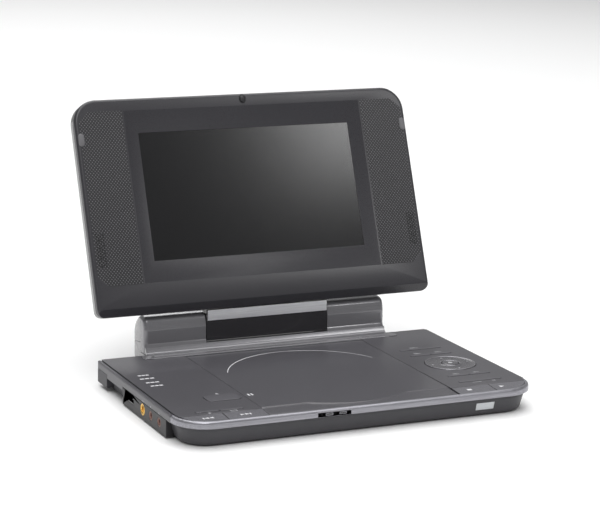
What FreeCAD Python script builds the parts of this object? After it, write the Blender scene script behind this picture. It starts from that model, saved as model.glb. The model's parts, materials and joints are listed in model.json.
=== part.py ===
"""Portable disc player with a display on a hinged arm, as a parametric assembly of separate pieces.

Frame: X to the right, Y to the back, Z up, millimetres, standing on z = 0. Pieces of the base and the arm are
drawn about the middle of the base; pieces of the display are drawn lying on their back, with the front face
at z = 0 and the bottom crease of that face on the X axis. place() then puts every piece in the shared frame.
"""
import FreeCAD, Part
import math
import operator
import os

import Sketcher

Vector = FreeCAD.Vector
doc = FreeCAD.newDocument("PortableDiscPlayer")

DRIVING_SIZES = {
    # base
    "width": 242.0,
    "depth": 158.0,
    "deck": 17.5,
    "foot_height": 1.0,
    "floor_top": 2.6,
    "corner": 22.0,
    "rim_width": 2.4,
    "rim_top": 16.9,
    "band_height": 5.0,
    "skirt_low": 12.0,
    "case_inset": 3.0,
    "case_top": 15.1,
    "key_strip": 12.6,
    "play_gap": 0.25,
    # disc lid and drive
    "lid_half": 64.0,
    "lid_axis_y": 65.95,
    "lid_axis_z": 16.45,
    "lid_round": 0.95,
    "well_floor": 10.0,
    "rod_height": 6.9,
    "rod_side": 24.0,
    "screw_side": 16.0,
    # keys
    "key_top": 17.8,
    "key_low": 15.4,
    "board_top": 12.8,
    # hinge housing and arm
    "housing_half": 88.0,
    "housing_wall": 1.8,
    "flange_half": 92.6,
    "bay_half": 44.6,
    "arm_half": 44.2,
    "arm_axis_y": 84.0,
    "arm_axis_z": 32.1,
    "arm_front_y": 80.0,
    "arm_top": 44.1,
    "pin_radius": 1.5,
    "pin_play": 0.05,
    # sockets in the left side
    "jack_bore": 1.8,
    "jack_height": 7.2,
    "av_jack_y": -7.4,
    "phone_jack_y": -21.8,
    "phone_jack_pitch": 14.8,
    # display
    "display_y": 78.0,
    "display_z": 50.5,
    "tilt": 21.7,
    "display_top": 141.0,
    "chin": 4.6,
    "display_thick": 12.0,
    "bezel_thick": 4.4,
    "screen_half": 77.0,
    "screen_low": 30.3,
    "screen_height": 87.2,
    "slope_half": 86.4,
    "slope_low": 15.4,
    "slope_high": 132.6,
    "knuckle_half": 25.0,
    "knuckle_v": 0.1,
    "knuckle_depth": 7.0,
    "lid_pin_radius": 2.0,
    # place of the base's middle in the shared frame
    "origin_back": 30.81,
}


# ---------------------------------------------------------------- sizes bound to the sheet
def formula(value):
    """The spreadsheet formula of a size, or the number itself."""
    return getattr(value, "formula", repr(round(float(value), 6)))


def worked_out(sign, work):
    def run(left, right):
        return Size(work(float(left), float(right)), f"({formula(left)} {sign} {formula(right)})")

    return run


ADD = worked_out("+", operator.add)
SUBTRACT = worked_out("-", operator.sub)
MULTIPLY = worked_out("*", operator.mul)
DIVIDE = worked_out("/", operator.truediv)


class Size(float):
    """A number that carries the formula it was worked out with, for setExpression."""

    def __new__(cls, number, text):
        size = super().__new__(cls, number)
        size.formula = text
        return size

    def __add__(self, other):
        return ADD(self, other)

    def __radd__(self, other):
        return ADD(other, self)

    def __sub__(self, other):
        return SUBTRACT(self, other)

    def __rsub__(self, other):
        return SUBTRACT(other, self)

    def __mul__(self, other):
        return MULTIPLY(self, other)

    def __rmul__(self, other):
        return MULTIPLY(other, self)

    def __truediv__(self, other):
        return DIVIDE(self, other)

    def __neg__(self):
        return MULTIPLY(-1.0, self)


class Sizes:
    """The driving sizes by name."""


def make_sheet():
    sheet = doc.addObject("Spreadsheet::Sheet", "Sizes")
    sizes = Sizes()
    for row, (name, number) in enumerate(DRIVING_SIZES.items(), 1):
        sheet.set(f"A{row}", name)
        sheet.set(f"B{row}", str(number))
        sheet.setAlias(f"B{row}", name)
        setattr(sizes, name, Size(number, f"Sizes.{name}"))
    doc.recompute()
    return sizes


def bind(thing, prop, size):
    """Set a property, and tie it to the sheet where its size comes from there."""
    if hasattr(size, "formula"):
        thing.setExpression(prop, size.formula)


S = make_sheet()
pieces = {}


# ---------------------------------------------------------------- sketches and solid features
def plane_of(body, role):
    return [f for f in body.Origin.OriginFeatures if f.Role == role][0]


def arc_between(start, end, radius):
    """A circle arc from start to end: anticlockwise for a positive radius, clockwise for a negative one."""
    if radius < 0:
        start, end = end, start
    size = abs(float(radius))
    middle = (start + end) / 2
    along = end - start
    half = along.Length / 2
    side = Vector(-along.y, along.x, 0).normalize()
    centre = middle + side * math.sqrt(max(size * size - half * half, 0.0))
    first = math.atan2(start.y - centre.y, start.x - centre.x)
    last = math.atan2(end.y - centre.y, end.x - centre.x)
    if last < first:
        last += 2 * math.pi
    return Part.ArcOfCircle(Part.Circle(centre, Vector(0, 0, 1), size), first, last)


def fix_point(sketch, geometry, end, x, y):
    """Pin a point of the sketch at x, y, measured from the sketch's origin."""
    for kind, place, axis in (("DistanceX", x, -2), ("DistanceY", y, -1)):
        if abs(float(place)) < 1e-9:
            sketch.addConstraint(Sketcher.Constraint("PointOnObject", geometry, end, axis))
            continue
        index = sketch.addConstraint(Sketcher.Constraint(kind, -1, 1, geometry, end, float(place)))
        bind(sketch, f"Constraints[{index}]", place)


def add_circle(sketch, x, y, radius):
    circle = Part.Circle(Vector(float(x), float(y), 0), Vector(0, 0, 1), float(radius))
    index = sketch.addGeometry(circle)
    fix_point(sketch, index, 3, x, y)
    constraint = sketch.addConstraint(Sketcher.Constraint("Radius", index, float(radius)))
    bind(sketch, f"Constraints[{constraint}]", radius)


def add_loop(sketch, points):
    """A closed outline. A point (x, y) is reached by a line, a point (x, y, radius) by an arc."""
    ends = []
    for previous, point in zip([points[-1]] + points[:-1], points):
        start = Vector(float(previous[0]), float(previous[1]), 0)
        end = Vector(float(point[0]), float(point[1]), 0)
        if len(point) == 2:
            index = sketch.addGeometry(Part.LineSegment(start, end))
            ends.append((index, 1, 2))
            continue
        index = sketch.addGeometry(arc_between(start, end, point[2]))
        ends.append((index, 1, 2) if point[2] > 0 else (index, 2, 1))
        constraint = sketch.addConstraint(Sketcher.Constraint("Radius", index, abs(float(point[2]))))
        bind(sketch, f"Constraints[{constraint}]", point[2] if point[2] > 0 else point[2] * -1.0)
    for (index, _, end), (following, start, _), point in zip(ends, ends[1:] + ends[:1], points):
        sketch.addConstraint(Sketcher.Constraint("Coincident", index, end, following, start))
        fix_point(sketch, index, end, point[0], point[1])


def draw(body, plane, offset, loops):
    sketch = body.newObject("Sketcher::SketchObject", "Outline")
    sketch.AttachmentSupport = [(plane_of(body, plane), "")]
    sketch.MapMode = "FlatFace"
    sketch.AttachmentOffset = FreeCAD.Placement(Vector(0, 0, float(offset)), FreeCAD.Rotation())
    bind(sketch, "AttachmentOffset.Base.z", offset)
    for loop in loops:
        if isinstance(loop, tuple):
            add_circle(sketch, *loop)
        else:
            add_loop(sketch, loop)
    return sketch


def pad(body, offset, length, *loops, plane="XY_Plane", both=False, down=False, taper=0.0):
    """Add material from a plane: up, down, or half to each side."""
    feature = body.newObject("PartDesign::Pad", "Pad")
    feature.Profile = draw(body, plane, offset, loops)
    feature.Length = float(length)
    bind(feature, "Length", length)
    feature.SideType = "Symmetric" if both else "One side"
    feature.Reversed = down
    feature.TaperAngle = taper
    return feature


def pocket(body, offset, length, *loops, plane="XY_Plane", both=False, up=False):
    """Cut from a plane downwards, or up, or half to each side, and make sure that something was cut."""
    doc.recompute()
    before = body.Shape.Volume
    feature = body.newObject("PartDesign::Pocket", "Pocket")
    feature.Profile = draw(body, plane, offset, loops)
    feature.Length = float(length)
    bind(feature, "Length", length)
    feature.SideType = "Symmetric" if both else "One side"
    feature.Reversed = up
    doc.recompute()
    if not body.Shape.Volume < before - 1e-6:
        raise ValueError(f"a pocket in {body.Label} cuts nothing")
    return feature


def dress(body, kind, size, wanted):
    """Fillet or chamfer the edges of the body that the test picks."""
    doc.recompute()
    tip = body.Tip
    names = [f"Edge{i}" for i, edge in enumerate(tip.Shape.Edges, 1) if wanted(edge)]
    feature = body.newObject("PartDesign::" + kind, kind)
    feature.Base = (tip, names)
    prop = "Radius" if kind == "Fillet" else "Size"
    setattr(feature, prop, float(size))
    bind(feature, prop, size)
    doc.recompute()
    return feature


def in_plane(height, tolerance=0.01):
    """A test for edges that lie wholly at one height."""

    def test(edge):
        box = edge.BoundBox
        return abs(box.ZMin - height) < tolerance and abs(box.ZMax - height) < tolerance

    return test


def new_body(label):
    body = doc.addObject("PartDesign::Body", label)
    body.Label = label
    return body


# ---------------------------------------------------------------- outlines
def rectangle(x0, x1, y0, y1):
    return [(x0, y0), (x1, y0), (x1, y1), (x0, y1)]


def rounded(x0, x1, y0, y1, low, high=None):
    """A rectangle whose two low-y corners and two high-y corners are rounded."""
    high = low if high is None else high
    return [
        (x1 - low, y0),
        (x1, y0 + low, low),
        (x1, y1 - high),
        (x1 - high, y1, high),
        (x0 + high, y1),
        (x0, y1 - high, high),
        (x0, y0 + low),
        (x0 + low, y0, low),
    ]


# ---------------------------------------------------------------- primitives and groups
def box(x0, x1, y0, y1, z0, z1):
    solid = doc.addObject("Part::Box", "Block")
    for prop, size in (("Length", x1 - x0), ("Width", y1 - y0), ("Height", z1 - z0)):
        setattr(solid, prop, float(size))
        bind(solid, prop, size)
    set_base(solid, x0, y0, z0)
    return solid


AXES = {
    "X": FreeCAD.Rotation(Vector(0, 1, 0), 90),
    "Y": FreeCAD.Rotation(Vector(1, 0, 0), -90),
    "Z": FreeCAD.Rotation(),
}


def rod(axis, radius, start, length):
    """A cylinder from a start point along +X, +Y or +Z."""
    solid = doc.addObject("Part::Cylinder", "Rod")
    solid.Radius = float(radius)
    solid.Height = float(length)
    bind(solid, "Radius", radius)
    bind(solid, "Height", length)
    solid.Placement = FreeCAD.Placement(Vector(), AXES[axis])
    set_base(solid, *start)
    return solid


def set_base(solid, x, y, z):
    solid.Placement.Base = Vector(float(x), float(y), float(z))
    for name, size in zip("xyz", (x, y, z)):
        bind(solid, f"Placement.Base.{name}", size)


def group(label, solids):
    """Separate solids that share one node."""
    thing = doc.addObject("Part::Compound", label)
    thing.Label = label
    thing.Links = solids
    return thing


def fuse(label, solids):
    thing = doc.addObject("Part::MultiFuse", label)
    thing.Label = label
    thing.Shapes = solids
    thing.Refine = True
    return thing


def cut(label, base, *tools):
    thing = doc.addObject("Part::Cut", label)
    thing.Label = label
    thing.Base = base
    thing.Tool = tools[0] if len(tools) == 1 else fuse(label + "_tools", list(tools))
    return thing


# ---------------------------------------------------------------- placing
def place(thing, where="base"):
    """Put a finished piece in the shared frame and keep it for export."""
    if where == "display":
        turn = FreeCAD.Rotation(Vector(1, 0, 0), 90.0 - float(S.tilt))
        back = S.display_y - S.origin_back
        thing.Placement = FreeCAD.Placement(Vector(0, float(back), float(S.display_z)), turn)
        bind(thing, "Placement.Base.y", back)
        bind(thing, "Placement.Base.z", S.display_z)
    else:
        thing.Placement = FreeCAD.Placement(Vector(0, -float(S.origin_back), 0), FreeCAD.Rotation())
        bind(thing, "Placement.Base.y", -S.origin_back)
    pieces[thing.Label] = thing


# ---------------------------------------------------------------- shared places of the base
half = S.width / 2
front = -S.depth / 2
back = S.depth / 2
inner_corner = S.corner - S.rim_width
strip_back = front + S.rim_width + S.key_strip
BOSSES = [(104.0, 72.0), (68.0, 72.0), (110.0, -60.0)]
EAR_FRONT = 61.0
SEAM = front + inner_corner + S.rim_width + 0.4
PANEL = (-49.0, 30.0)
IR_WINDOW = (76.5, 89.5, 4.2, 9.3)
INSERT = (-34.5, -11.7)
DC_INLET = (70.0, 7.2)
BATTERY = (66.5, 112.0, -40.0, 60.0)


# ---------------------------------------------------------------- casing of the base
def bottom_case():
    body = new_body("bottom_case")
    side = half - S.case_inset
    nose = front + S.case_inset
    shoulder = 10.0
    outline = rounded(-side, side, nose, back, S.corner - S.case_inset, 2.0)
    pad(body, shoulder, shoulder - S.foot_height, outline, down=True, taper=-15.5)
    pad(body, shoulder, S.case_top - shoulder, outline)
    ears = [rectangle(-half, -half + 7.0, EAR_FRONT, back), rectangle(half - 7.0, half, EAR_FRONT, back)]
    pad(body, 3.0, S.skirt_low - 0.2 - 3.0, *ears)
    thick = 4.3
    inner = rounded(-side + thick, side - thick, nose + thick, back - 1.8, S.corner - S.case_inset - thick, 1.5)
    pocket(body, S.case_top, S.case_top - S.floor_top, inner)
    bosses = [(s * x, y, 3.5) for x, y in BOSSES for s in (-1, 1)]
    pad(body, S.floor_top, 14.0 - S.floor_top, *bosses)
    pocket(body, 14.0, 14.0, *[(x, y, 1.25) for x, y, _ in bosses])
    pocket(body, S.foot_height, 1.6, *[(x, y, 2.7) for x, y, _ in bosses], up=True)
    panel_span = (PANEL[0] - 0.1, PANEL[1] + 0.1)
    pocket(body, S.skirt_low, S.skirt_low, rectangle(-half - 4.0, -half + 6.8, *panel_span))
    pocket(body, S.skirt_low, S.skirt_low - S.floor_top, rectangle(-half + 6.0, -half + 8.5, *panel_span))
    pocket(body, S.case_top, 1.0, rectangle(-half, half, front, strip_back + 0.6))
    pocket(body, S.floor_top + 1.0, 8.0, rectangle(*BATTERY))
    x0, x1, z0, z1 = IR_WINDOW
    window = rectangle(front - 2.0, front + 8.0, z0, z1)
    pocket(body, x1, x1 - x0, window, plane="YZ_Plane")
    y, z = DC_INLET
    pocket(body, half + 1.0, 15.0, (y, z, 3.65), plane="YZ_Plane")
    place(body)


def corner_reach(edge, y):
    """How far out a line at y runs before it meets the inner front corner, for a side line at edge."""
    centre = half - S.rim_width - inner_corner
    radius = float(edge) - float(centre)
    rise = float(front + S.rim_width + inner_corner) - float(y)
    return centre + math.sqrt(radius**2 - rise**2)


def deck_panel():
    body = new_body("deck_panel")
    gap = S.play_gap
    side = half - S.rim_width - 0.15
    turn = side - inner_corner + 0.15
    reach = corner_reach(side, strip_back)
    plate = [
        (reach, strip_back),
        (side, front + S.rim_width + inner_corner, side - turn),
        (side, back),
        (-side, back),
        (-side, front + S.rim_width + inner_corner),
        (-reach, strip_back, side - turn),
    ]
    pad(body, S.case_top + 0.1, S.deck - S.case_top - 0.1, plate)
    pad(body, S.case_top + 0.1, 0.7, rectangle(-half, half, SEAM + 0.2, back))
    skirts = [rectangle(s * half, s * (half - 1.8), SEAM + 0.2, back) for s in (-1, 1)]
    pad(body, S.case_top + 0.3, S.case_top + 0.3 - S.skirt_low, *skirts, down=True)
    recess = [rectangle(s * half, s * (half - 1.8), PANEL[1] + 0.2, EAR_FRONT - 0.2) for s in (-1, 1)]
    pad(body, S.skirt_low + 0.1, 2.6, *recess, down=True)
    well = S.lid_half + 0.3
    pocket(body, S.deck + 1.0, 6.0, rectangle(-well, well, front, S.lid_axis_y + S.lid_round + 0.2))
    openings = [key_outline(*spec[:5], grow=gap) for spec in DECK_KEYS.values()]
    pocket(body, S.deck + 1.0, 4.0, *openings, (NAV_X, NAV_Y, NAV_RADIUS + gap))
    hinge = (S.lid_axis_y, S.lid_axis_z, 0.65)
    pocket(body, S.lid_half + 4.0, 2.0 * S.lid_half + 8.0, hinge, plane="YZ_Plane")
    place(body)


def band_outline(rear):
    """The U of the rim, from its outer line to its inner line, open at the back."""
    inner = half - S.rim_width
    nose = front + S.rim_width
    return [
        (-half, front + S.corner),
        (-half + S.corner, front, S.corner),
        (half - S.corner, front),
        (half, front + S.corner, S.corner),
        (half, rear),
        (inner, rear),
        (inner, nose + inner_corner),
        (inner - inner_corner, nose, -inner_corner),
        (inner_corner - inner, nose),
        (-inner, nose + inner_corner, -inner_corner),
        (-inner, rear),
        (-half, rear),
    ]


def rim_trim():
    body = new_body("rim_trim")
    top_part = S.case_top + 0.9
    low = S.rim_top + 0.6 - S.band_height
    pad(body, top_part, S.rim_top - top_part, band_outline(back))
    pad(body, top_part, top_part - low, band_outline(SEAM), down=True)
    pocket(body, top_part + 0.1, 9.0, rectangle(INSERT[0], INSERT[1], front - 1.0, front + 4.0))
    place(body)


def indicator_insert():
    """The insert in the band, with the two light pipes that shine through it."""
    low = S.rim_top + 0.6 - S.band_height + 0.1
    high = S.case_top + 0.9
    face = box(INSERT[0] + 0.1, INSERT[1] - 0.1, front, front + 2.3, low, high)
    lenses = [(-28.9, -24.3), (-19.7, -15.4)]
    holes = [box(a, b, front - 1.0, front + 4.0, 13.4, 14.7) for a, b in lenses]
    place(cut("indicator_insert", face, *holes))
    pipes = [box(a + 0.05, b - 0.05, front - 0.1, front + 2.3, 13.45, 14.65) for a, b in lenses]
    place(group("status_lenses", pipes))


def ir_window():
    body = new_body("ir_window")
    x0, x1, z0, z1 = IR_WINDOW
    edge = 0.1
    face = [
        (front + 3.2, z1 - edge),
        (front + 4.6, z0 + edge),
        (front + 7.2, z0 + edge),
        (front + 7.2, z1 - edge),
    ]
    pad(body, x0 + edge, x1 - x0 - 2 * edge, face, plane="YZ_Plane")
    place(body)


def rubber_feet():
    spots = [(s * 100.0, y) for s in (-1, 1) for y in (-60.0, 66.0)]
    place(group("feet", [rod("Z", 5.0, (x, y, 0.0), S.foot_height) for x, y in spots]))


def case_screws():
    screws = []
    for x, y in BOSSES:
        for s in (-1, 1):
            head = rod("Z", 2.5, (s * x, y, S.foot_height + 0.1), 1.4)
            shank = rod("Z", 1.2, (s * x, y, S.foot_height + 1.5), 9.5)
            screws.append(fuse(f"screw_{len(screws)}", [head, shank]))
    place(group("case_screws", screws))


# ---------------------------------------------------------------- sockets
def jack_panel():
    body = new_body("jack_panel")
    outline = rectangle(PANEL[0], PANEL[1], S.foot_height, S.skirt_low - 0.2)
    pad(body, -half, 6.5, outline, plane="YZ_Plane")
    holes = [(S.av_jack_y, S.jack_height, 3.9)]
    for i in range(2):
        holes.append((S.phone_jack_y - i * S.phone_jack_pitch, S.jack_height, 3.05))
    pocket(body, -half + 8.0, 10.0, *holes, rectangle(9.0, 24.6, 5.3, 11.5), plane="YZ_Plane")
    place(body)


def jack(label, y, outer):
    """A socket for a 3.5 mm plug, with its mouth in the left side."""
    mouth = -half - 0.1
    barrel = rod("X", outer, (mouth, y, S.jack_height), 13.0)
    bore = rod("X", S.jack_bore, (mouth - 1.0, y, S.jack_height), 12.5)
    return cut(label, barrel, bore)


def sockets():
    place(jack("av_jack", S.av_jack_y, 3.8))
    spots = [S.phone_jack_y - i * S.phone_jack_pitch for i in range(2)]
    place(group("headphone_jacks", [jack(f"phone_jack_{i}", y, 3.0) for i, y in enumerate(spots)]))

    shell = box(-half + 0.4, -half + 13.0, 9.1, 24.5, 5.4, 11.4)
    hollow = box(-half - 1.0, -half + 12.2, 10.0, 23.6, 6.1, 10.8)
    tongue = box(-half + 1.4, -half + 12.5, 11.2, 22.4, 7.9, 8.8)
    place(fuse("multi_socket", [cut("socket_shell", shell, hollow), tongue]))

    y, z = DC_INLET
    start = half - 11.0
    barrel = rod("X", 3.6, (start, y, z), 11.0)
    bore = rod("X", 2.75, (start + 1.5, y, z), 11.0)
    contact = rod("X", 0.8, (start + 1.0, y, z), 8.5)
    place(fuse("dc_inlet", [cut("inlet_barrel", barrel, bore), contact]))


# ---------------------------------------------------------------- drive under the disc lid
def bay_floor():
    body = new_body("bay_floor")
    edge = S.lid_half + 2.4
    well = S.lid_half + 0.6
    rear = S.lid_axis_y + 2.0
    pad(body, S.well_floor - 1.4, S.case_top - S.well_floor + 1.4, rectangle(-edge, edge, -63.4, rear))
    pad(body, 13.6, S.case_top - 13.6, rectangle(-S.lid_half, S.lid_half, front + 7.6, -63.0))
    pocket(body, S.case_top, S.case_top - S.well_floor, rectangle(-well, well, -61.8, rear - 1.8))
    slot = rectangle(-11.0, 11.0, -62.5, -14.0)
    pocket(body, S.well_floor + 1.0, 6.0, slot)
    pocket(body, S.case_top, S.case_top - 10.8, rectangle(-edge - 1.0, -well + 1.0, -37.0, -31.0))
    pocket(body, S.well_floor + 1.0, 6.0, (0.0, 0.0, 15.0))
    place(body)


def drive():
    rods = S.rod_height
    plate = box(-30.0, 30.0, -68.0, 14.0, 4.0, 5.0)
    ends = [box(-28.0, 28.0, y, y + 2.0, 4.5, 8.4) for y in (-67.0, -15.4)]
    screw_holes = rod("Y", 1.36, (S.screw_side, -69.0, rods), 58.0)
    rod_holes = [rod("Y", 1.0, (s * S.rod_side, -66.0, rods), 51.5) for s in (-1, 1)]
    posts = [rod("Z", 3.5, (s * 27.0, y, S.floor_top), 1.6) for s in (-1, 1) for y in (-55.0, 9.0)]
    place(cut("traverse_chassis", fuse("chassis_blank", [plate, *ends, *posts]), screw_holes, *rod_holes))

    rails = [rod("Y", 1.0, (s * S.rod_side, -66.0, rods), 51.5) for s in (-1, 1)]
    place(group("guide_rods", rails))

    stator = rod("Z", 12.0, (0.0, 0.0, 5.0), 4.9)
    shaft_way = rod("Z", 1.25, (0.0, 0.0, 4.0), 8.0)
    can = rod("Y", 1.6, (S.screw_side, -13.2, rods), 9.0)
    place(group("drive_motors", [cut("spindle_motor", stator, shaft_way), can]))

    body = new_body("turntable")
    pad(body, 5.6, 5.0, (0.0, 0.0, 1.2))
    pad(body, S.well_floor + 0.4, 1.2, (0.0, 0.0, 14.6))
    pad(body, S.well_floor + 1.5, 2.1, (0.0, 0.0, 7.4))
    dress(body, "Chamfer", 0.8, in_plane(S.well_floor + 3.6))
    place(body)

    block = box(-27.0, 27.0, -31.0, -19.0, 5.6, 8.2)
    stage = box(-9.0, 9.0, -30.0, -20.0, 8.0, 9.2)
    sled = fuse("sled_blank", [block, stage])
    ways = [rod("Y", 1.05, (s * S.rod_side, -40.0, rods), 30.0) for s in (-1, 1)]
    ways.append(rod("Y", 1.36, (S.screw_side, -40.0, rods), 30.0))
    lens = rod("Z", 2.2, (0.0, -25.0, 9.2), 0.6)
    place(group("pickup_sled", [cut("sled_body", sled, *ways), lens]))

    place(group("lead_screw", [rod("Y", 1.3, (S.screw_side, -66.8, rods), 53.2)]))


def disc_lid():
    body = new_body("disc_lid")
    low = S.lid_axis_z - S.lid_round
    high = S.lid_axis_z + S.lid_round
    nose = front + S.rim_width + 0.2
    section = [
        (nose, low),
        (S.lid_axis_y, low),
        (S.lid_axis_y, high, S.lid_round),
        (strip_back + 2.0, high),
        (nose, high - 1.2),
    ]
    pad(body, 0.0, 2.0 * S.lid_half, section, plane="YZ_Plane", both=True)
    pins = (S.lid_axis_y, S.lid_axis_z, 0.6)
    pad(body, 0.0, 2.0 * S.lid_half + 6.4, pins, plane="YZ_Plane", both=True)
    hook = rectangle(-S.lid_half + 0.6, -S.lid_half + 2.4, -36.0, -32.0)
    pad(body, low + 0.1, 2.6, hook, down=True)
    place(body)


def disc_latch():
    """The slider that the open button pushes away from the lid's hook."""
    slider = box(-78.0, -S.lid_half - 3.0, -36.5, -31.5, 10.6, 11.6)
    nose = box(-S.lid_half - 5.0, -S.lid_half + 0.1, -35.5, -32.5, 11.0, 14.4)
    place(fuse("disc_latch", [slider, nose]))


# ---------------------------------------------------------------- keys
NAV_X, NAV_Y, NAV_RADIUS, OK_RADIUS = 92.0, -10.4, 16.8, 5.6
OPEN_BUTTON = (-89.4, -67.4, -39.6, -27.0)
# key name: x0, x1, y0, y1, corner radius, stem radius
DECK_KEYS = {
    "open_button": (*OPEN_BUTTON, 3.0, 1.2),
    "bright_key": (-105.6, -90.3, -59.6, -56.9, 1.0, 0.9),
    "size_key": (-89.9, -74.6, -59.6, -56.9, 1.0, 0.9),
    "select_key": (75.6, 105.8, 28.8, 31.3, 1.0, 0.9),
    "menu_key": (75.6, 90.5, 13.7, 16.2, 1.0, 0.9),
    "list_key": (90.9, 105.8, 13.7, 16.2, 1.0, 0.9),
    "display_key": (75.6, 91.0, -39.9, -37.4, 1.0, 0.9),
    "return_key": (91.4, 105.8, -39.9, -37.4, 1.0, 0.9),
    "repeat_key": (75.6, 105.8, -54.7, -52.2, 1.0, 0.9),
}
FRONT_KEYS = {
    "skip_back_key": (-1, 90.9, True),
    "skip_forward_key": (-1, 64.7, False),
    "stop_key": (1, 64.7, False),
    "play_key": (1, 90.9, True),
}
FRONT_STEM_Y = -68.0


def key_outline(x0, x1, y0, y1, radius, grow=0.0):
    radius = radius + grow
    return rounded(x0 - grow, x1 + grow, y0 - grow, y1 + grow, radius)


def stem_spots():
    """Where each key's stem stands, over its switch."""
    spots = {name: ((k[0] + k[1]) / 2, (k[2] + k[3]) / 2, k[5]) for name, k in DECK_KEYS.items()}
    for name, (side, start, outer) in FRONT_KEYS.items():
        spots[name] = (side * (start + 8.0), FRONT_STEM_Y, 1.2)
    spots["nav_ring"] = (NAV_X, NAV_Y - 11.0, 1.2)
    spots["ok_button"] = (NAV_X, NAV_Y, 1.2)
    return spots


def stem(body, name):
    x, y, radius = stem_spots()[name]
    pad(body, S.key_low + 0.2, 0.7, (x, y, radius), down=True)


def deck_key(name):
    body = new_body(name)
    pad(body, S.key_low, S.key_top - S.key_low, key_outline(*DECK_KEYS[name][:5]))
    dress(body, "Fillet", 0.3, in_plane(S.key_top))
    stem(body, name)
    place(body)


def front_key(name):
    """A key of the sloping strip along the front edge; the outer ones follow the rounded corner."""
    side, start, outer = FRONT_KEYS[name]
    low = front + S.rim_width + 0.2
    high = strip_back - 0.25
    body = new_body(name)
    if outer:
        radius = inner_corner - 0.2
        edge = half - S.rim_width - 0.2
        reach = corner_reach(edge, high)
        outline = [
            (side * start, low),
            (side * (edge - radius), low),
            (side * reach, high, side * radius),
            (side * start, high),
        ]
    else:
        outline = rectangle(side * start, side * 90.4, low, high)
    pad(body, S.key_low, S.deck - S.key_low, outline)
    slope = [(low - 1.0, S.deck - 0.9), (high + 1.0, S.deck + 0.05), (high + 1.0, S.deck + 1.0), (low - 1.0, S.deck + 1.0)]
    pocket(body, side * 95.0, 80.0, slope, plane="YZ_Plane", both=True)
    stem(body, name)
    place(body)


def round_keys():
    body = new_body("nav_ring")
    pad(body, S.key_low, S.key_top - S.key_low, (NAV_X, NAV_Y, NAV_RADIUS), (NAV_X, NAV_Y, OK_RADIUS + 0.3))
    dress(body, "Fillet", 0.5, lambda e: in_plane(S.key_top)(e) and e.Curve.Radius > 10)
    stem(body, "nav_ring")
    place(body)
    body = new_body("ok_button")
    pad(body, S.key_low, S.key_top + 0.2 - S.key_low, (NAV_X, NAV_Y, OK_RADIUS))
    dress(body, "Fillet", 0.4, in_plane(S.key_top + 0.2))
    stem(body, "ok_button")
    place(body)


def key_switches():
    left_board = box(-104.0, -70.0, -70.0, -25.0, S.board_top - 1.0, S.board_top)
    latch_way = box(-71.2, -69.0, -36.5, -31.5, S.board_top - 2.0, S.board_top + 1.0)
    boards = [
        cut("left_board", left_board, latch_way),
        fuse(
            "right_board",
            [
                box(67.0, 104.0, -70.0, -49.0, S.board_top - 1.0, S.board_top),
                box(67.0, 112.0, -50.0, 38.0, S.board_top - 1.0, S.board_top),
            ],
        ),
    ]
    place(group("key_boards", boards))
    spots = stem_spots().values()
    size = 1.2
    place(group("tact_switches", [box(x - size, x + size, y - size, y + size, S.board_top, 13.9) for x, y, _ in spots]))


# ---------------------------------------------------------------- electronics
def electronics():
    board = box(-106.5, -68.0, -46.0, 60.0, 5.0, 6.2)
    parts = [
        box(-98.0, -84.0, -10.0, 4.0, 6.2, 7.6),
        box(-80.0, -70.0, -14.0, 6.0, 6.2, 7.4),
        box(-100.0, -90.0, 24.0, 40.0, 6.2, 9.0),
        box(-84.0, -74.0, 30.0, 50.0, 6.2, 9.6),
    ]
    place(group("main_board", [board, *parts]))
    x0, x1, y0, y1 = BATTERY
    middle = (x0 + x1) / 2
    cells = [(x0 + 1.5, middle - 0.4), (middle + 0.4, x1 - 1.5)]
    place(group("battery_cells", [box(a, b, y0 + 2.0, y1 - 2.0, S.floor_top + 0.4, 10.8) for a, b in cells]))
    door = box(x0 + 0.3, x1 - 0.3, y0 + 0.3, y1 - 0.3, S.foot_height, S.floor_top)
    grip = box(x0 + 12.0, x1 - 12.0, y0 + 3.0, y0 + 5.0, 0.0, S.foot_height + 0.6)
    place(cut("battery_door", door, grip))


# ---------------------------------------------------------------- hinge housing
HOUSING_FOOT = [
    (68.0, 0.0),
    (68.0, 0.4),
    (75.6, 0.4),
    (77.8, 1.3),
    (79.2, 2.9),
    (79.9, 4.6),
    (81.6, 4.6),
    (81.6, 0.0),
]
HOUSING_FRONT = [
    (79.9, 4.7),
    (80.4, 6.8),
    (80.4, 16.8),
    (81.4, 21.0),
    (83.6, 23.6),
    (87.0, 24.8),
    (88.0, 24.8),
]
HOUSING_INNER = [
    (88.0, 23.0),
    (87.0, 23.0),
    (84.4, 22.1),
    (82.9, 20.2),
    (81.6, 16.6),
    (81.6, 4.7),
]


def above_deck(points):
    return [(y, S.deck + z, *rest) for y, z, *rest in points]


def end_walls(body, section, wall_positions):
    """Closed walls across the housing, each a wall thick, starting at the given places."""
    for start in wall_positions:
        pad(body, start, S.housing_wall, section, plane="YZ_Plane")


def housing_foot():
    """The low flange and ridge in front of the housing, over its whole width."""
    body = new_body("housing_foot")
    pad(body, 0.0, 2.0 * S.flange_half, above_deck(HOUSING_FOOT), plane="YZ_Plane", both=True)
    ends = [rectangle(s * (S.housing_half + 0.1), s * 120.0, 76.6, 90.0) for s in (-1, 1)]
    pocket(body, S.deck + 8.0, 16.0, *ends)
    place(body)


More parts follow.
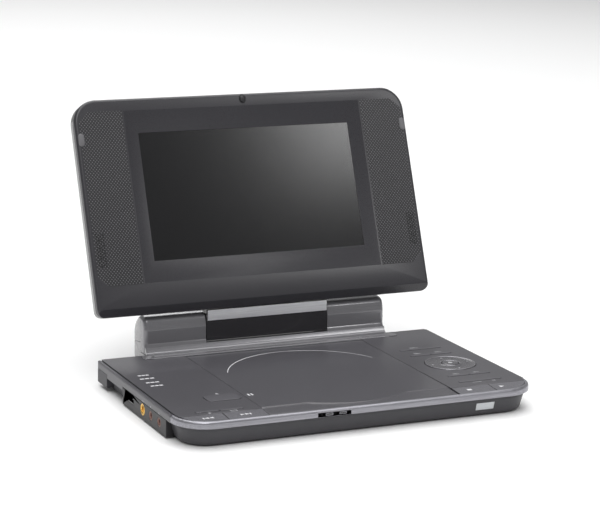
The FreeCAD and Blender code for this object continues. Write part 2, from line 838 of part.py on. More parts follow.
def housing_front():
    body = new_body("housing_front")
    shell = above_deck(HOUSING_FRONT + HOUSING_INNER)
    pad(body, 0.0, 2.0 * S.housing_half, shell, plane="YZ_Plane", both=True)
    section = above_deck(HOUSING_FRONT + [(88.0, 0.0), (81.7, 0.0), (81.7, 4.7)])
    walls = [-S.housing_half, S.housing_half - S.housing_wall, S.bay_half, -S.bay_half - S.housing_wall]
    end_walls(body, section, walls)
    floor = above_deck([(81.7, 2.9), (98.0, 2.9), (98.0, 4.6), (81.7, 4.6)])
    pad(body, 0.0, 2.0 * S.bay_half + 2.0, floor, plane="YZ_Plane", both=True)
    bay = above_deck([(60.0, 4.6), (110.0, 4.6), (110.0, 40.0), (60.0, 40.0)])
    pocket(body, 0.0, 2.0 * S.bay_half, bay, plane="YZ_Plane", both=True)
    way = (S.arm_axis_y, S.arm_axis_z, S.pin_radius + 0.4)
    pocket(body, 0.0, 2.0 * S.bay_half + 20.0, way, plane="YZ_Plane", both=True)
    place(body)


def housing_rear():
    body = new_body("housing_rear")
    outer = [
        (88.1, 42.3),
        (103.1, 27.3, -15.0),
        (103.1, 15.0),
        (93.1, 5.0, -10.0),
        (79.2, 5.0),
    ]
    inner = [
        (79.2, 6.8),
        (93.1, 6.8),
        (101.3, 15.0, 8.2),
        (101.3, 27.3),
        (88.1, 40.5, 13.2),
    ]
    pad(body, 0.0, 2.0 * S.housing_half, outer + inner, plane="YZ_Plane", both=True)
    section = outer + [(79.2, 17.3), (88.1, 17.3)]
    end_walls(body, section, [-S.housing_half, S.housing_half - S.housing_wall])
    bay = above_deck([(86.0, 4.6), (110.0, 4.6), (110.0, 40.0), (86.0, 40.0)])
    pocket(body, 0.0, 2.0 * S.bay_half, bay, plane="YZ_Plane", both=True)
    sides = above_deck([(88.1, 4.6), (101.3, 4.6), (101.3, 12.0), (95.0, 20.4), (88.1, 22.8)])
    end_walls(body, sides, [S.bay_half, -S.bay_half - S.housing_wall])
    place(body)


def friction_hinges():
    """The two barrels that hold the arm's pin, each on its own steel block."""
    hinges = []
    for start in (47.0, -62.0):
        barrel = rod("X", 2.35, (start, S.arm_axis_y, S.arm_axis_z), 15.0)
        block = box(start + 1.0, start + 14.0, 82.0, 87.6, 7.0, S.arm_axis_z)
        bore = rod("X", S.pin_radius + S.pin_play, (start - 1.0, S.arm_axis_y, S.arm_axis_z), 17.0)
        hinges.append(cut(f"hinge_{len(hinges)}", fuse(f"hinge_blank_{len(hinges)}", [barrel, block]), bore))
    place(group("hinge_barrels", hinges))


# ---------------------------------------------------------------- arm
def lid_axis():
    """The upper hinge axis in the base's own frame."""
    tilt = math.radians(float(S.tilt))
    y = S.display_y + S.knuckle_v * math.sin(tilt) + S.knuckle_depth * math.cos(tilt)
    z = S.display_z + S.knuckle_v * math.cos(tilt) - S.knuckle_depth * math.sin(tilt)
    return y, z


def arm():
    y, z = lid_axis()
    core = box(-42.0, 42.0, S.arm_front_y + 1.25, 88.5, 26.0, 37.5)
    neck = box(-S.knuckle_half, S.knuckle_half, y - 1.9, y + 2.4, S.arm_axis_z, z)
    knuckle = rod("X", 3.2, (-S.knuckle_half, y, z), 2.0 * S.knuckle_half)
    blank = fuse("arm_blank", [core, neck, knuckle])
    low_bore = rod("X", S.pin_radius, (-50.0, S.arm_axis_y, S.arm_axis_z), 100.0)
    high_bore = rod("X", S.lid_pin_radius + S.pin_play, (-50.0, y, z), 100.0)
    place(cut("arm_frame", blank, low_bore, high_bore))
    pin = rod("X", S.pin_radius, (-63.0, S.arm_axis_y, S.arm_axis_z), 126.0)
    place(group("lower_hinge_pin", [pin]))

    face = S.arm_front_y
    foot = S.arm_axis_z - 9.4
    body = new_body("arm_front")
    wall = [
        (face, S.arm_top),
        (face, foot + 0.9),
        (face + 1.5, foot + 0.2),
        (face + 4.0, foot),
        (face + 4.0, foot + 1.7),
        (face + 2.1, foot + 1.9),
        (face + 1.2, foot + 2.5),
        (face + 1.2, S.arm_top),
    ]
    pad(body, 0.0, 2.0 * S.arm_half, wall, plane="YZ_Plane", both=True)
    place(body)

    body = new_body("arm_rear")
    round_outer = 9.4
    round_inner = 7.8
    axis_y = S.arm_axis_y
    axis_z = S.arm_axis_z
    outer = [
        (axis_y + 0.2, foot),
        (axis_y + round_outer, axis_z + 0.2, round_outer),
        (axis_y + 11.2, axis_z + 4.4),
        (axis_y + 11.2, axis_z + 8.0),
        (axis_y + 9.6, axis_z + 9.5),
        (face + 1.8, axis_z + 9.5),
    ]
    inner = [
        (face + 1.8, axis_z + 7.9),
        (axis_y + 9.0, axis_z + 7.9),
        (axis_y + 9.6, axis_z + 7.3),
        (axis_y + 9.6, axis_z + 4.8),
        (axis_y + round_inner, axis_z + 0.2),
        (axis_y + 0.2, foot + 1.6, -round_inner),
    ]
    pad(body, 0.0, 2.0 * S.arm_half, outer + inner, plane="YZ_Plane", both=True)
    cheek = outer + [(face + 1.8, foot + 2.6), (axis_y, foot + 2.0)]
    end_walls(body, cheek, [-S.arm_half, S.arm_half - S.housing_wall])
    neck_y, neck_z = lid_axis()
    slot = [(neck_y - 2.1, 40.0 - 6.0), (neck_y + 2.6, 34.0), (neck_y + 2.6, 50.0), (neck_y - 2.1, 50.0)]
    pocket(body, 0.0, 2.0 * S.knuckle_half + 0.4, slot, plane="YZ_Plane", both=True)
    way = (axis_y, axis_z, S.pin_radius + S.pin_play)
    pocket(body, 0.0, 2.0 * S.arm_half + 4.0, way, plane="YZ_Plane", both=True)
    place(body)

    plate_low = 37.0
    plate = box(-S.arm_half + 0.6, S.arm_half - 0.6, face - 0.35, face, plate_low, S.arm_top - 0.1)
    place(group("arm_plate", [plate]))


# ---------------------------------------------------------------- display, drawn lying on its back
def display_outline(inset=0.0):
    corner = 16.0 - inset
    low_corner = 5.5 - inset if inset < 4 else 2.0
    return rounded(inset - half, half - inset, inset - S.chin, S.display_top - inset, low_corner, corner)


def knuckle_slot(wide):
    """The notch in the display's lower edge for the arm's knuckle, in the Y-Z plane."""
    return [(-S.chin - 2.0, -3.4), (-S.chin - 2.0, -14.0), (5.4, -14.0), (5.4, -3.4)], 2.0 * S.knuckle_half + wide


def bezel():
    body = new_body("bezel")
    pad(body, -S.bezel_thick, S.bezel_thick, display_outline())
    dress(body, "Chamfer", 1.5, in_plane(0.0))
    chin_cut = [(0.0, 0.0), (-S.chin - 1.0, -4.3), (-S.chin - 1.0, 1.0), (0.0, 1.0)]
    pocket(body, 0.0, S.width + 4.0, chin_cut, plane="YZ_Plane", both=True)
    hollow = rounded(2.0 - half, half - 2.0, 2.5, S.display_top - 2.0, 4.0, 14.0)
    pocket(body, -S.bezel_thick, S.bezel_thick - 3.0, hollow, up=True)
    high = S.screen_low + S.screen_height
    screen = rectangle(-S.screen_half, S.screen_half, S.screen_low, high)
    pocket(body, 1.0, 8.0, screen)
    slope = body.newObject("PartDesign::SubtractiveLoft", "Slope")
    slope.Profile = draw(body, "XY_Plane", 0.0, [rectangle(-S.slope_half, S.slope_half, S.slope_low, S.slope_high)])
    slope.Sections = [draw(body, "XY_Plane", -2.5, [screen])]
    slope.Ruled = True
    outline, wide = knuckle_slot(1.0)
    pocket(body, 0.0, wide, outline, plane="YZ_Plane", both=True)
    place(body, "display")


def rear_cover():
    body = new_body("rear_cover")
    thick = S.display_thick - S.bezel_thick - 0.1
    pad(body, -S.display_thick, thick, display_outline())
    dress(body, "Fillet", 2.5, in_plane(-float(S.display_thick)))
    back_z = -float(S.display_thick)
    low_v = -float(S.chin)
    round_low = [
        (low_v - 1.0, back_z + 6.0),
        (low_v, back_z + 6.0),
        (low_v + 6.0, back_z, 6.0),
        (low_v + 6.0, back_z - 1.0),
        (low_v - 1.0, back_z - 1.0),
    ]
    pocket(body, 0.0, S.width + 4.0, round_low, plane="YZ_Plane", both=True)
    hollow = rounded(2.0 - half, half - 2.0, 5.5, S.display_top - 2.0, 3.0, 14.0)
    pocket(body, -S.bezel_thick - 0.1, 5.9, hollow)
    boss = (S.knuckle_v, -S.knuckle_depth, 3.9)
    for start in (S.knuckle_half + 0.6, -S.knuckle_half - 9.6):
        pad(body, start, 9.0, boss, plane="YZ_Plane")
    lip = [(-20.0, -S.bezel_thick - 0.1), (5.3, -S.bezel_thick - 0.1), (5.3, 2.0), (-20.0, 2.0)]
    pocket(body, 0.0, 80.0, lip, plane="YZ_Plane", both=True)
    outline, wide = knuckle_slot(1.0)
    pocket(body, 0.0, wide, outline, plane="YZ_Plane", both=True)
    bore = (S.knuckle_v, -S.knuckle_depth, S.lid_pin_radius)
    pocket(body, 0.0, 66.0, bore, plane="YZ_Plane", both=True)
    place(body, "display")


def display_inside():
    high = S.screen_low + S.screen_height
    glass = box(-S.screen_half - 1.5, S.screen_half + 1.5, S.screen_low - 1.5, high + 1.5, -4.3, -3.05)
    place(group("screen_panel", [glass]), "display")
    tray = box(-81.0, 81.0, 26.0, 122.0, -6.9, -4.5)
    place(group("panel_frame", [tray]), "display")
    board = box(-56.0, 56.0, 8.0, 24.0, -6.2, -5.0)
    chips = [box(x, x + 9.0, 11.0, 20.0, -5.0, -3.6) for x in (-40.0, 4.0, 30.0)]
    place(group("display_board", [board, *chips]), "display")
    cones = [rod("Z", 12.0, (s * 101.0, 75.0, -7.2), 3.6) for s in (-1, 1)]
    place(group("speakers", cones), "display")
    pin = rod("X", S.lid_pin_radius, (-33.0, S.knuckle_v, -S.knuckle_depth), 66.0)
    place(group("upper_hinge_pin", [pin]), "display")
    pads = [box(s * 117.0 - 2.3, s * 117.0 + 2.3, 109.4, 118.4, 0.0, 0.8) for s in (-1, 1)]
    place(group("lid_pads", pads), "display")
    hook = [box(-2.4, 2.4, 135.2, 138.8, 0.0, 1.2)]
    place(group("lid_catch", hook), "display")


# ---------------------------------------------------------------- build, check and write
def build():
    bottom_case()
    deck_panel()
    rim_trim()
    indicator_insert()
    ir_window()
    rubber_feet()
    case_screws()
    jack_panel()
    sockets()
    bay_floor()
    drive()
    disc_lid()
    disc_latch()
    for name in DECK_KEYS:
        deck_key(name)
    for name in FRONT_KEYS:
        front_key(name)
    round_keys()
    key_switches()
    electronics()
    housing_foot()
    housing_front()
    housing_rear()
    friction_hinges()
    arm()
    bezel()
    rear_cover()
    display_inside()


def check():
    doc.recompute()
    for thing in doc.Objects:
        if {"Invalid", "Error"} & set(thing.State):
            raise ValueError(f"{thing.Label} failed: {thing.State}")
    for label, thing in pieces.items():
        shape = thing.Shape
        if shape.isNull() or not shape.isValid() or not shape.Solids:
            raise ValueError(f"{label} has no valid solid")


def write():
    os.makedirs("parts", exist_ok=True)
    for label, thing in pieces.items():
        thing.Shape.exportStep(f"parts/{label}.step")


build()
check()
write()
print(len(pieces), "pieces written")
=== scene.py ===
"""The looks of a portable disc player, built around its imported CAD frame."""
import json
import math

import bmesh
import bpy
from mathutils import Matrix, Vector

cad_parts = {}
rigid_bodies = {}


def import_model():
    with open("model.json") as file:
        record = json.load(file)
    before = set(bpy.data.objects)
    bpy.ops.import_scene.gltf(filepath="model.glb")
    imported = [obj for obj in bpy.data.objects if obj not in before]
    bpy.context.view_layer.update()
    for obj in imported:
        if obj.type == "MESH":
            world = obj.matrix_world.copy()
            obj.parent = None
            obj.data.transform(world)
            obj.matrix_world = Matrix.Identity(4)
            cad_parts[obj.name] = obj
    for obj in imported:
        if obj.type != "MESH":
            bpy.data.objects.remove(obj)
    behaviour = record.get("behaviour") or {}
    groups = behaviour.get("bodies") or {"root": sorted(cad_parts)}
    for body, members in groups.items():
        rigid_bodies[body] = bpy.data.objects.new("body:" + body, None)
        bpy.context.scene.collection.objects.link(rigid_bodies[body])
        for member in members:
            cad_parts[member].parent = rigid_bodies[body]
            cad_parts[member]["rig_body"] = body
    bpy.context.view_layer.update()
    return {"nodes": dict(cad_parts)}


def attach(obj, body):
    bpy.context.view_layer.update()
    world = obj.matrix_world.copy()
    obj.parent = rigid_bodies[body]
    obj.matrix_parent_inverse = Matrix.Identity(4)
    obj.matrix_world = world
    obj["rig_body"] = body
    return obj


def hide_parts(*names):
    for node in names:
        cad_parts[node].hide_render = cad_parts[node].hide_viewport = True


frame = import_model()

# ------------------------------------------------------------------ frames, in millimetres
MM = 0.001
ORIGIN_BACK = 30.81
DECK = 17.5
TILT = 21.7
BASE = Matrix.Translation(Vector((0, -ORIGIN_BACK, 0)) * MM)
DISPLAY = Matrix.Translation(Vector((0, 78.0 - ORIGIN_BACK, 50.5)) * MM) @ Matrix.Rotation(
    math.radians(90 - TILT), 4, "X"
)
NODES = frame["nodes"]


# ------------------------------------------------------------------ materials
def shader(name):
    material = bpy.data.materials.new(name)
    material.use_nodes = True
    nodes = material.node_tree.nodes
    return material, nodes, material.node_tree.links, nodes["Principled BSDF"]


def object_coordinates(nodes, links, scale=(1, 1, 1), turn=(0, 0, 0)):
    coordinates = nodes.new("ShaderNodeTexCoord")
    mapping = nodes.new("ShaderNodeMapping")
    mapping.inputs["Scale"].default_value = scale
    mapping.inputs["Rotation"].default_value = turn
    links.new(coordinates.outputs["Object"], mapping.inputs["Vector"])
    return mapping.outputs["Vector"]


def noise(nodes, links, vector, scale, detail=3.0, rough=0.5):
    texture = nodes.new("ShaderNodeTexNoise")
    texture.inputs["Scale"].default_value = scale
    texture.inputs["Detail"].default_value = detail
    texture.inputs["Roughness"].default_value = rough
    links.new(vector, texture.inputs["Vector"])
    return texture.outputs["Fac"]


def ramp(nodes, links, factor, stops):
    node = nodes.new("ShaderNodeValToRGB")
    elements = node.color_ramp.elements
    while len(elements) < len(stops):
        elements.new(0.5)
    for element, (place, colour) in zip(elements, stops):
        element.position = place
        element.color = (*colour, 1.0) if len(colour) == 3 else colour
    links.new(factor, node.inputs["Fac"])
    return node.outputs["Color"]


def remap(nodes, links, factor, low, high, start=0.3, stop=0.7):
    node = nodes.new("ShaderNodeMapRange")
    node.inputs["From Min"].default_value = start
    node.inputs["From Max"].default_value = stop
    node.inputs["To Min"].default_value = low
    node.inputs["To Max"].default_value = high
    links.new(factor, node.inputs["Value"])
    return node.outputs["Result"]


def bump(nodes, links, height, distance, strength=1.0, normal=None):
    node = nodes.new("ShaderNodeBump")
    node.inputs["Distance"].default_value = distance
    node.inputs["Strength"].default_value = strength
    links.new(height, node.inputs["Height"])
    if normal is not None:
        links.new(normal, node.inputs["Normal"])
    return node.outputs["Normal"]


def finish_of(
    name, colour, rough, metal=0.0, coat=0.0, coat_rough=0.05, tone=0.12, tone_scale=28.0,
    grain=2600.0, depth=0.000012, spread=0.05, stretch=(1, 1, 1), specular=0.5, sheen=0.0,
):
    """A moulded, lacquered or metal surface: broad tone, fine grain in bump and roughness."""
    material, nodes, links, surface = shader(name)
    vector = object_coordinates(nodes, links, stretch)
    broad = noise(nodes, links, vector, tone_scale, 4.0, 0.6)
    fine = noise(nodes, links, vector, grain, 2.0, 0.6)
    dark = tuple(c * (1 - tone) for c in colour)
    light = tuple(c * (1 + tone) for c in colour)
    links.new(ramp(nodes, links, broad, [(0.3, dark), (0.7, light)]), surface.inputs["Base Color"])
    links.new(remap(nodes, links, fine, rough - spread, rough + spread), surface.inputs["Roughness"])
    links.new(bump(nodes, links, fine, depth), surface.inputs["Normal"])
    surface.inputs["Metallic"].default_value = metal
    surface.inputs["Coat Weight"].default_value = coat
    surface.inputs["Coat Roughness"].default_value = coat_rough
    surface.inputs["Specular IOR Level"].default_value = specular
    surface.inputs["Sheen Weight"].default_value = sheen
    return material


def grille_material():
    """Moulded sheet with staggered studs on a dark ground, on the mesh's UV map; the studs are coloured
    lighter as a painted highlight.
    """
    material, nodes, links, surface = shader("grille")
    coordinates = nodes.new("ShaderNodeUVMap")
    coordinates.uv_map = "UVMap"
    split = nodes.new("ShaderNodeSeparateXYZ")
    links.new(coordinates.outputs["UV"], split.inputs["Vector"])

    def math_node(operation, first, second=None):
        node = nodes.new("ShaderNodeMath")
        node.operation = operation
        for socket, value in zip(node.inputs, (first, second)):
            if value is None:
                continue
            if isinstance(value, (int, float)):
                socket.default_value = value
            else:
                links.new(value, socket)
        return node.outputs["Value"]

    cells = []
    for axis in "XY":
        cell = math_node("FRACT", split.outputs[axis])
        centred = math_node("SUBTRACT", cell, 0.5)
        cells.append(math_node("MULTIPLY", centred, centred))
    distance = math_node("SQRT", math_node("ADD", *cells))
    stud = remap(nodes, links, distance, 1.0, 0.0, 0.12, 0.30)
    # Painted highlight: the stud centres are coloured light grey against the dark ground; the studs' bump is
    # real.
    colour = ramp(
        nodes, links, distance,
        [
            (0.0, (0.17, 0.167, 0.178)), (0.15, (0.15, 0.147, 0.158)), (0.26, (0.022, 0.021, 0.024)),
            (0.6, (0.016, 0.016, 0.018)),
        ],
    )
    links.new(colour, surface.inputs["Base Color"])
    fine = noise(nodes, links, object_coordinates(nodes, links), 2600.0)
    links.new(remap(nodes, links, fine, 0.34, 0.46), surface.inputs["Roughness"])
    links.new(bump(nodes, links, stud, 0.0003, 0.8), surface.inputs["Normal"])
    return material


def brushed(name, colour, rough, along="X", metal=1.0, depth=0.00002, tone=0.10):
    stretch = {"X": (0.02, 1, 1), "Y": (1, 0.02, 1), "Z": (1, 1, 0.02)}[along]
    return finish_of(
        name, colour, rough, metal=metal, tone=tone, tone_scale=900.0, grain=2400.0, depth=depth,
        stretch=stretch, spread=0.07,
    )


def print_ink(name, colour):
    return finish_of(name, colour, 0.42, tone=0.05, tone_scale=600.0, grain=5200.0, depth=0.000006)


M = {
    "deck": finish_of(
        "deck", (0.064, 0.062, 0.071), 0.36, coat=0.12, coat_rough=0.28, tone=0.06, grain=3400.0,
        depth=0.000010,
    ),
    "disc_lid": finish_of(
        "disc_lid", (0.068, 0.066, 0.075), 0.32, coat=0.15, coat_rough=0.22, tone=0.05, grain=3000.0,
        depth=0.000008,
    ),
    "case": finish_of("case", (0.05, 0.049, 0.055), 0.48, tone=0.07, grain=1500.0, depth=0.000030),
    "band": brushed("band", (0.31, 0.307, 0.335), 0.34, metal=0.75, tone=0.2),
    "housing": finish_of(
        "housing", (0.20, 0.197, 0.21), 0.23, metal=0.35, coat=0.6, coat_rough=0.10, tone=0.05,
        depth=0.000005,
    ),
    "housing_back": finish_of(
        "housing_back", (0.16, 0.158, 0.168), 0.16, coat=0.8, coat_rough=0.04, tone=0.05, depth=0.000005,
    ),
    "bezel": finish_of(
        "bezel", (0.031, 0.030, 0.035), 0.30, coat=0.10, coat_rough=0.2, tone=0.05, grain=3200.0,
        depth=0.000009,
    ),
    "shell": finish_of(
        "shell", (0.03, 0.03, 0.034), 0.17, coat=0.8, coat_rough=0.05, tone=0.07, depth=0.000004,
    ),
    "arm": finish_of("arm", (0.017, 0.016, 0.019), 0.20, coat=0.7, coat_rough=0.06, tone=0.1, depth=0.000005),
    "plate": brushed("plate", (0.85, 0.855, 0.88), 0.40),
    "key": finish_of(
        "key", (0.085, 0.083, 0.094), 0.33, coat=0.2, coat_rough=0.2, tone=0.06, grain=3200.0,
        depth=0.000008,
    ),
    # Painted light: the front keys take a lighter copy of the key colour for the light falling on their
    # sloping strip.
    "front_key_lit": finish_of(
        "front_key_lit", (0.115, 0.113, 0.127), 0.30, coat=0.3, coat_rough=0.15, tone=0.05, grain=3200.0,
        depth=0.000008,
    ),
    "ring": finish_of(
        "ring", (0.066, 0.064, 0.073), 0.26, coat=0.4, coat_rough=0.12, tone=0.06, depth=0.000006,
    ),
    "gloss_black": finish_of("gloss_black", (0.010, 0.010, 0.012), 0.14, coat=0.6, tone=0.2, depth=0.000003),
    "panel": finish_of("panel", (0.015, 0.0148, 0.017), 0.45, tone=0.1, grain=1800.0, depth=0.000022),
    "window": finish_of("window", (0.60, 0.62, 0.64), 0.24, coat=0.5, tone=0.04, depth=0.000006),
    "lens": finish_of("lens", (0.02, 0.021, 0.023), 0.15, coat=0.5, tone=0.1, depth=0.000004),
    "film": finish_of(
        "film", (0.004, 0.004, 0.0048), 0.15, tone=0.15, grain=5200.0, depth=0.000005, spread=0.03,
    ),
    "steel": brushed("steel", (0.5, 0.5, 0.52), 0.28),
    "dark_steel": finish_of("dark_steel", (0.09, 0.09, 0.095), 0.35, metal=0.9, depth=0.00001),
    "zinc": finish_of("zinc", (0.33, 0.33, 0.34), 0.5, metal=0.9, grain=1200.0, depth=0.00003),
    "rubber": finish_of("rubber", (0.012, 0.012, 0.013), 0.72, grain=1300.0, depth=0.00004, sheen=0.1),
    "pad": finish_of("pad", (0.13, 0.128, 0.136), 0.42, grain=1800.0, depth=0.00001),
    "gold": finish_of("gold", (0.74, 0.46, 0.12), 0.2, metal=1.0, tone=0.08, depth=0.000006),
    "copper": finish_of(
        "copper", (0.22, 0.13, 0.11), 0.34, metal=0.8, tone=0.18, tone_scale=900.0, depth=0.000008,
    ),
    # Painted shade for the inside of the jack bores.
    "socket_dark": finish_of("socket_dark", (0.004, 0.004, 0.0045), 0.6, tone=0.2),
    "board": finish_of(
        "board", (0.02, 0.11, 0.05), 0.35, coat=0.4, tone=0.25, tone_scale=420.0, depth=0.00002,
    ),
    "cell": finish_of("cell", (0.05, 0.09, 0.2), 0.3, coat=0.3, tone=0.12, tone_scale=120.0, depth=0.00003),
    "cone": finish_of("cone", (0.02, 0.02, 0.022), 0.8, grain=900.0, depth=0.00006, sheen=0.3),
    "print": print_ink("print", (0.75, 0.75, 0.77)),
    "faint_print": print_ink("faint_print", (0.48, 0.48, 0.50)),
    "groove": finish_of("groove", (0.009, 0.009, 0.010), 0.55, tone=0.2),
    "bright_edge": brushed("bright_edge", (0.36, 0.355, 0.38), 0.30, metal=0.8),
    "grille": grille_material(),
    # Painted shade: dark discs laid where holes are, standing in for the shade inside them.
    "hole": finish_of("hole", (0.0035, 0.0035, 0.004), 0.7, tone=0.2),
}


# ------------------------------------------------------------------ making pieces
def piece(
    name, points, faces, material, body, where=BASE, replaces=(), slot=None, smooth=30.0, bevel=0.0,
    segments=2, uv=None,
):
    """A mesh piece from points in millimetres, in the frame of the base or the display."""
    mesh = bpy.data.meshes.new(name)
    mesh.from_pydata([Vector(p) * MM for p in points], [], faces)
    mesh.validate()
    work = bmesh.new()
    work.from_mesh(mesh)
    bmesh.ops.recalc_face_normals(work, faces=work.faces)
    work.to_mesh(mesh)
    work.free()
    if uv:
        layer = mesh.uv_layers.new(name="UVMap")
        for loop in mesh.loops:
            layer.data[loop.index].uv = uv(mesh.vertices[loop.vertex_index].co / MM)
    return settle(
        bpy.data.objects.new(name, mesh), material, body, where, replaces, smooth, bevel, segments,
    )


def settle(thing, material, body, where, replaces, smooth, bevel, segments):
    bpy.context.scene.collection.objects.link(thing)
    thing.matrix_world = where
    thing.data.materials.clear()
    thing.data.materials.append(M[material])
    thing.data.shade_smooth()
    thing.data.set_sharp_from_angle(angle=math.radians(smooth))
    if bevel:
        edge = thing.modifiers.new("edges", "BEVEL")
        edge.width = bevel * MM
        edge.segments = segments
        edge.limit_method = "ANGLE"
        edge.angle_limit = math.radians(smooth)
        edge.use_clamp_overlap = True
        edge.harden_normals = True
    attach(thing, body)
    if replaces:
        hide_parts(*replaces)
    return thing


def polished(node, material, bevel=0.25, segments=2, pick=None, angle=28.0):
    """A copy of a CAD node with its edges rounded, which stands in for the node."""
    mesh = NODES[node].data.copy()
    work = bmesh.new()
    work.from_mesh(mesh)
    bmesh.ops.remove_doubles(work, verts=work.verts, dist=0.000002)
    bmesh.ops.dissolve_limit(work, angle_limit=math.radians(1.0), verts=work.verts, edges=work.edges)
    weight = work.edges.layers.float.new("bevel_weight_edge")
    for edge in work.edges:
        if len(edge.link_faces) != 2 or edge.calc_face_angle(0.0) < math.radians(angle):
            continue
        middle = (edge.verts[0].co + edge.verts[1].co) / 2 / MM
        middle.y += ORIGIN_BACK
        if pick is None or pick(middle):
            edge[weight] = 1.0
    work.to_mesh(mesh)
    work.free()
    mesh.name = node + "_shape"
    thing = bpy.data.objects.new(node + "_finished", mesh)
    body = NODES[node]["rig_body"]
    settle(thing, material, body, Matrix.Identity(4), [node], angle, 0.0, segments)
    edge = thing.modifiers.new("edges", "BEVEL")
    edge.width = bevel * MM
    edge.segments = segments
    edge.limit_method = "WEIGHT"
    edge.use_clamp_overlap = False
    edge.harden_normals = True
    return thing


def rounded(half_x, y0, y1, low, high, steps=12):
    """An anticlockwise outline, round at its two low-y and its two high-y corners."""
    points = []
    for x, y, radius, start in (
        (half_x, y0, low, -90), (half_x, y1, high, 0), (-half_x, y1, high, 90), (-half_x, y0, low, 180),
    ):
        cx = x - math.copysign(radius, x)
        cy = y + radius if start in (-90, 180) else y - radius
        for i in range(steps + 1):
            a = math.radians(start + 90.0 * i / steps)
            points.append((cx + radius * math.cos(a), cy + radius * math.sin(a)))
    return points


def loft(rings, caps=(True, True)):
    """Points and faces of a skin over rings of equal length."""
    count = len(rings[0])
    points = [p for ring in rings for p in ring]
    faces = []
    for r in range(len(rings) - 1):
        for i in range(count):
            j = (i + 1) % count
            faces.append((r * count + i, r * count + j, (r + 1) * count + j, (r + 1) * count + i))
    if caps[0]:
        faces.append(tuple(range(count))[::-1])
    if caps[1]:
        last = (len(rings) - 1) * count
        faces.append(tuple(range(last, last + count)))
    return points, faces


def joined(skins):
    """Several skins as one list of points and one of faces."""
    points, faces = [], []
    for more, sides in skins:
        start = len(points)
        points += more
        faces += [tuple(i + start for i in face) for face in sides]
    return points, faces


def prism(name, outline, z0, z1, material, body, bevel=0.0, **rest):
    rings = [[(x, y, z) for x, y in outline] for z in (z0, z1)]
    return piece(name, *loft(rings), material, body, bevel=bevel, **rest)


def section(name, profile, x0, x1, material, body, bevel=0.0, **rest):
    """A closed (y, z) profile drawn out along X."""
    rings = [[(x, y, z) for y, z in profile] for x in (x0, x1)]
    return piece(name, *loft(rings), material, body, bevel=bevel, **rest)


def lathe(name, profile, centre, axis, material, body, steps=64, **rest):
    """A profile of (radius, height) turned about X or Z through the centre."""
    rings = []
    for radius, height in profile:
        ring = []
        for i in range(steps):
            a = 2 * math.pi * i / steps
            c, s = max(radius, 0.001) * math.cos(a), max(radius, 0.001) * math.sin(a)
            offset = (c, s, height) if axis == "Z" else (height, c, s)
            ring.append(tuple(o + p for o, p in zip(offset, centre)))
        rings.append(ring)
    return piece(name, *loft(rings, rest.pop("caps", (True, True))), material, body, **rest)


def smooth_line(points, steps=6):
    """A Catmull-Rom line through points, for soft profiles."""
    line = []
    extended = [points[0]] + list(points) + [points[-1]]
    for a, b, c, d in zip(extended, extended[1:], extended[2:], extended[3:]):
        for i in range(steps):
            t = i / steps
            line.append(tuple(
                0.5 * (
                    2 * q + (r - p) * t + (
                        2 * p - 5 * q + 4 * r - s
                    ) * t * t + (3 * q - p - 3 * r + s) * t**3
                )
                for p, q, r, s in zip(a, b, c, d)
            ))
    line.append(tuple(points[-1]))
    return line


# ------------------------------------------------------------------ base casing
HALF, FRONT, BACK = 121.0, -79.0, 79.0
CORNER = 22.0
SEAM_Y = -56.6


def case_outline_pick(p):
    if p.z > 1.6:
        return False
    if 60 < p.x < 113.5 and -43 < p.y < 63:
        return False
    for x, y in ((104, 72), (68, 72), (110, -60)):
        if math.hypot(abs(p.x) - x, p.y - y) < 3.4:
            return False
    return True


def rim_path(rear, steps=14):
    """The rim's outer line with its inward normals, from the rear left round the front to the rear right."""
    path = [((-HALF, rear), (1, 0))]
    for cx, start in ((-HALF + CORNER, 180), (HALF - CORNER, 270)):
        for i in range(steps + 1):
            a = math.radians(start + 90.0 * i / steps)
            normal = (-math.cos(a), -math.sin(a))
            path.append(((cx + CORNER * math.cos(a), FRONT + CORNER + CORNER * math.sin(a)), normal))
    path.append(((HALF, rear), (-1, 0)))
    return path


def sweep(name, profile, path, material, body, **rest):
    """A closed profile of (distance inwards, height) carried along the path."""
    rings = []
    for (x, y), (nx, ny) in path:
        rings.append([(x + nx * d, y + ny * d, z) for d, z in profile])
    return piece(name, *loft(rings), material, body, **rest)


def base_casing():
    polished("bottom_case", "case", 1.3, 4, case_outline_pick, 20.0)
    polished("deck_panel", "deck", 0.22, 2, lambda p: p.z > 16.5 or abs(p.x) > 118.5)
    polished("battery_door", "case", 0.2)
    polished("jack_panel", "panel", 0.25)
    polished("bay_floor", "panel", 0.3)
    band = [
        (0.0, 12.6), (0.0, 15.3), (0.16, 16.0), (0.55, 16.55), (1.1, 16.85), (1.8, 16.98), (2.25, 16.9),
        (2.3, 16.1), (2.3, 12.8), (1.9, 12.45), (0.35, 12.35),
    ]
    sweep("rim_band", band, rim_path(SEAM_Y), "band", "base", replaces=["rim_trim"], smooth=40.0)
    strip = [
        (0.05, 16.0), (0.05, 16.45), (0.3, 16.8), (0.7, 16.95), (1.7, 16.95), (2.1, 16.8), (2.3, 16.5),
        (2.3, 16.0),
    ]
    for side, name in ((-1, "left"), (1, "right")):
        rings = [[(side * (HALF - d), y, z) for d, z in strip] for y in (SEAM_Y, BACK)]
        piece("rim_strip_" + name, *loft(rings), "deck", "base", smooth=40.0)


# ------------------------------------------------------------------ disc lid
def lid_boundary(x):
    """Where the lid's top breaks down to its front edge: an arc in the middle, straight at both sides."""
    arc = -71.0 + x * x / 114.0
    straight = -61.0
    blend = max(0.0, min(1.0, (arc - straight + 1.6) / 3.2))
    blend = blend * blend * (3 - 2 * blend)
    return arc * (1 - blend) + straight * blend


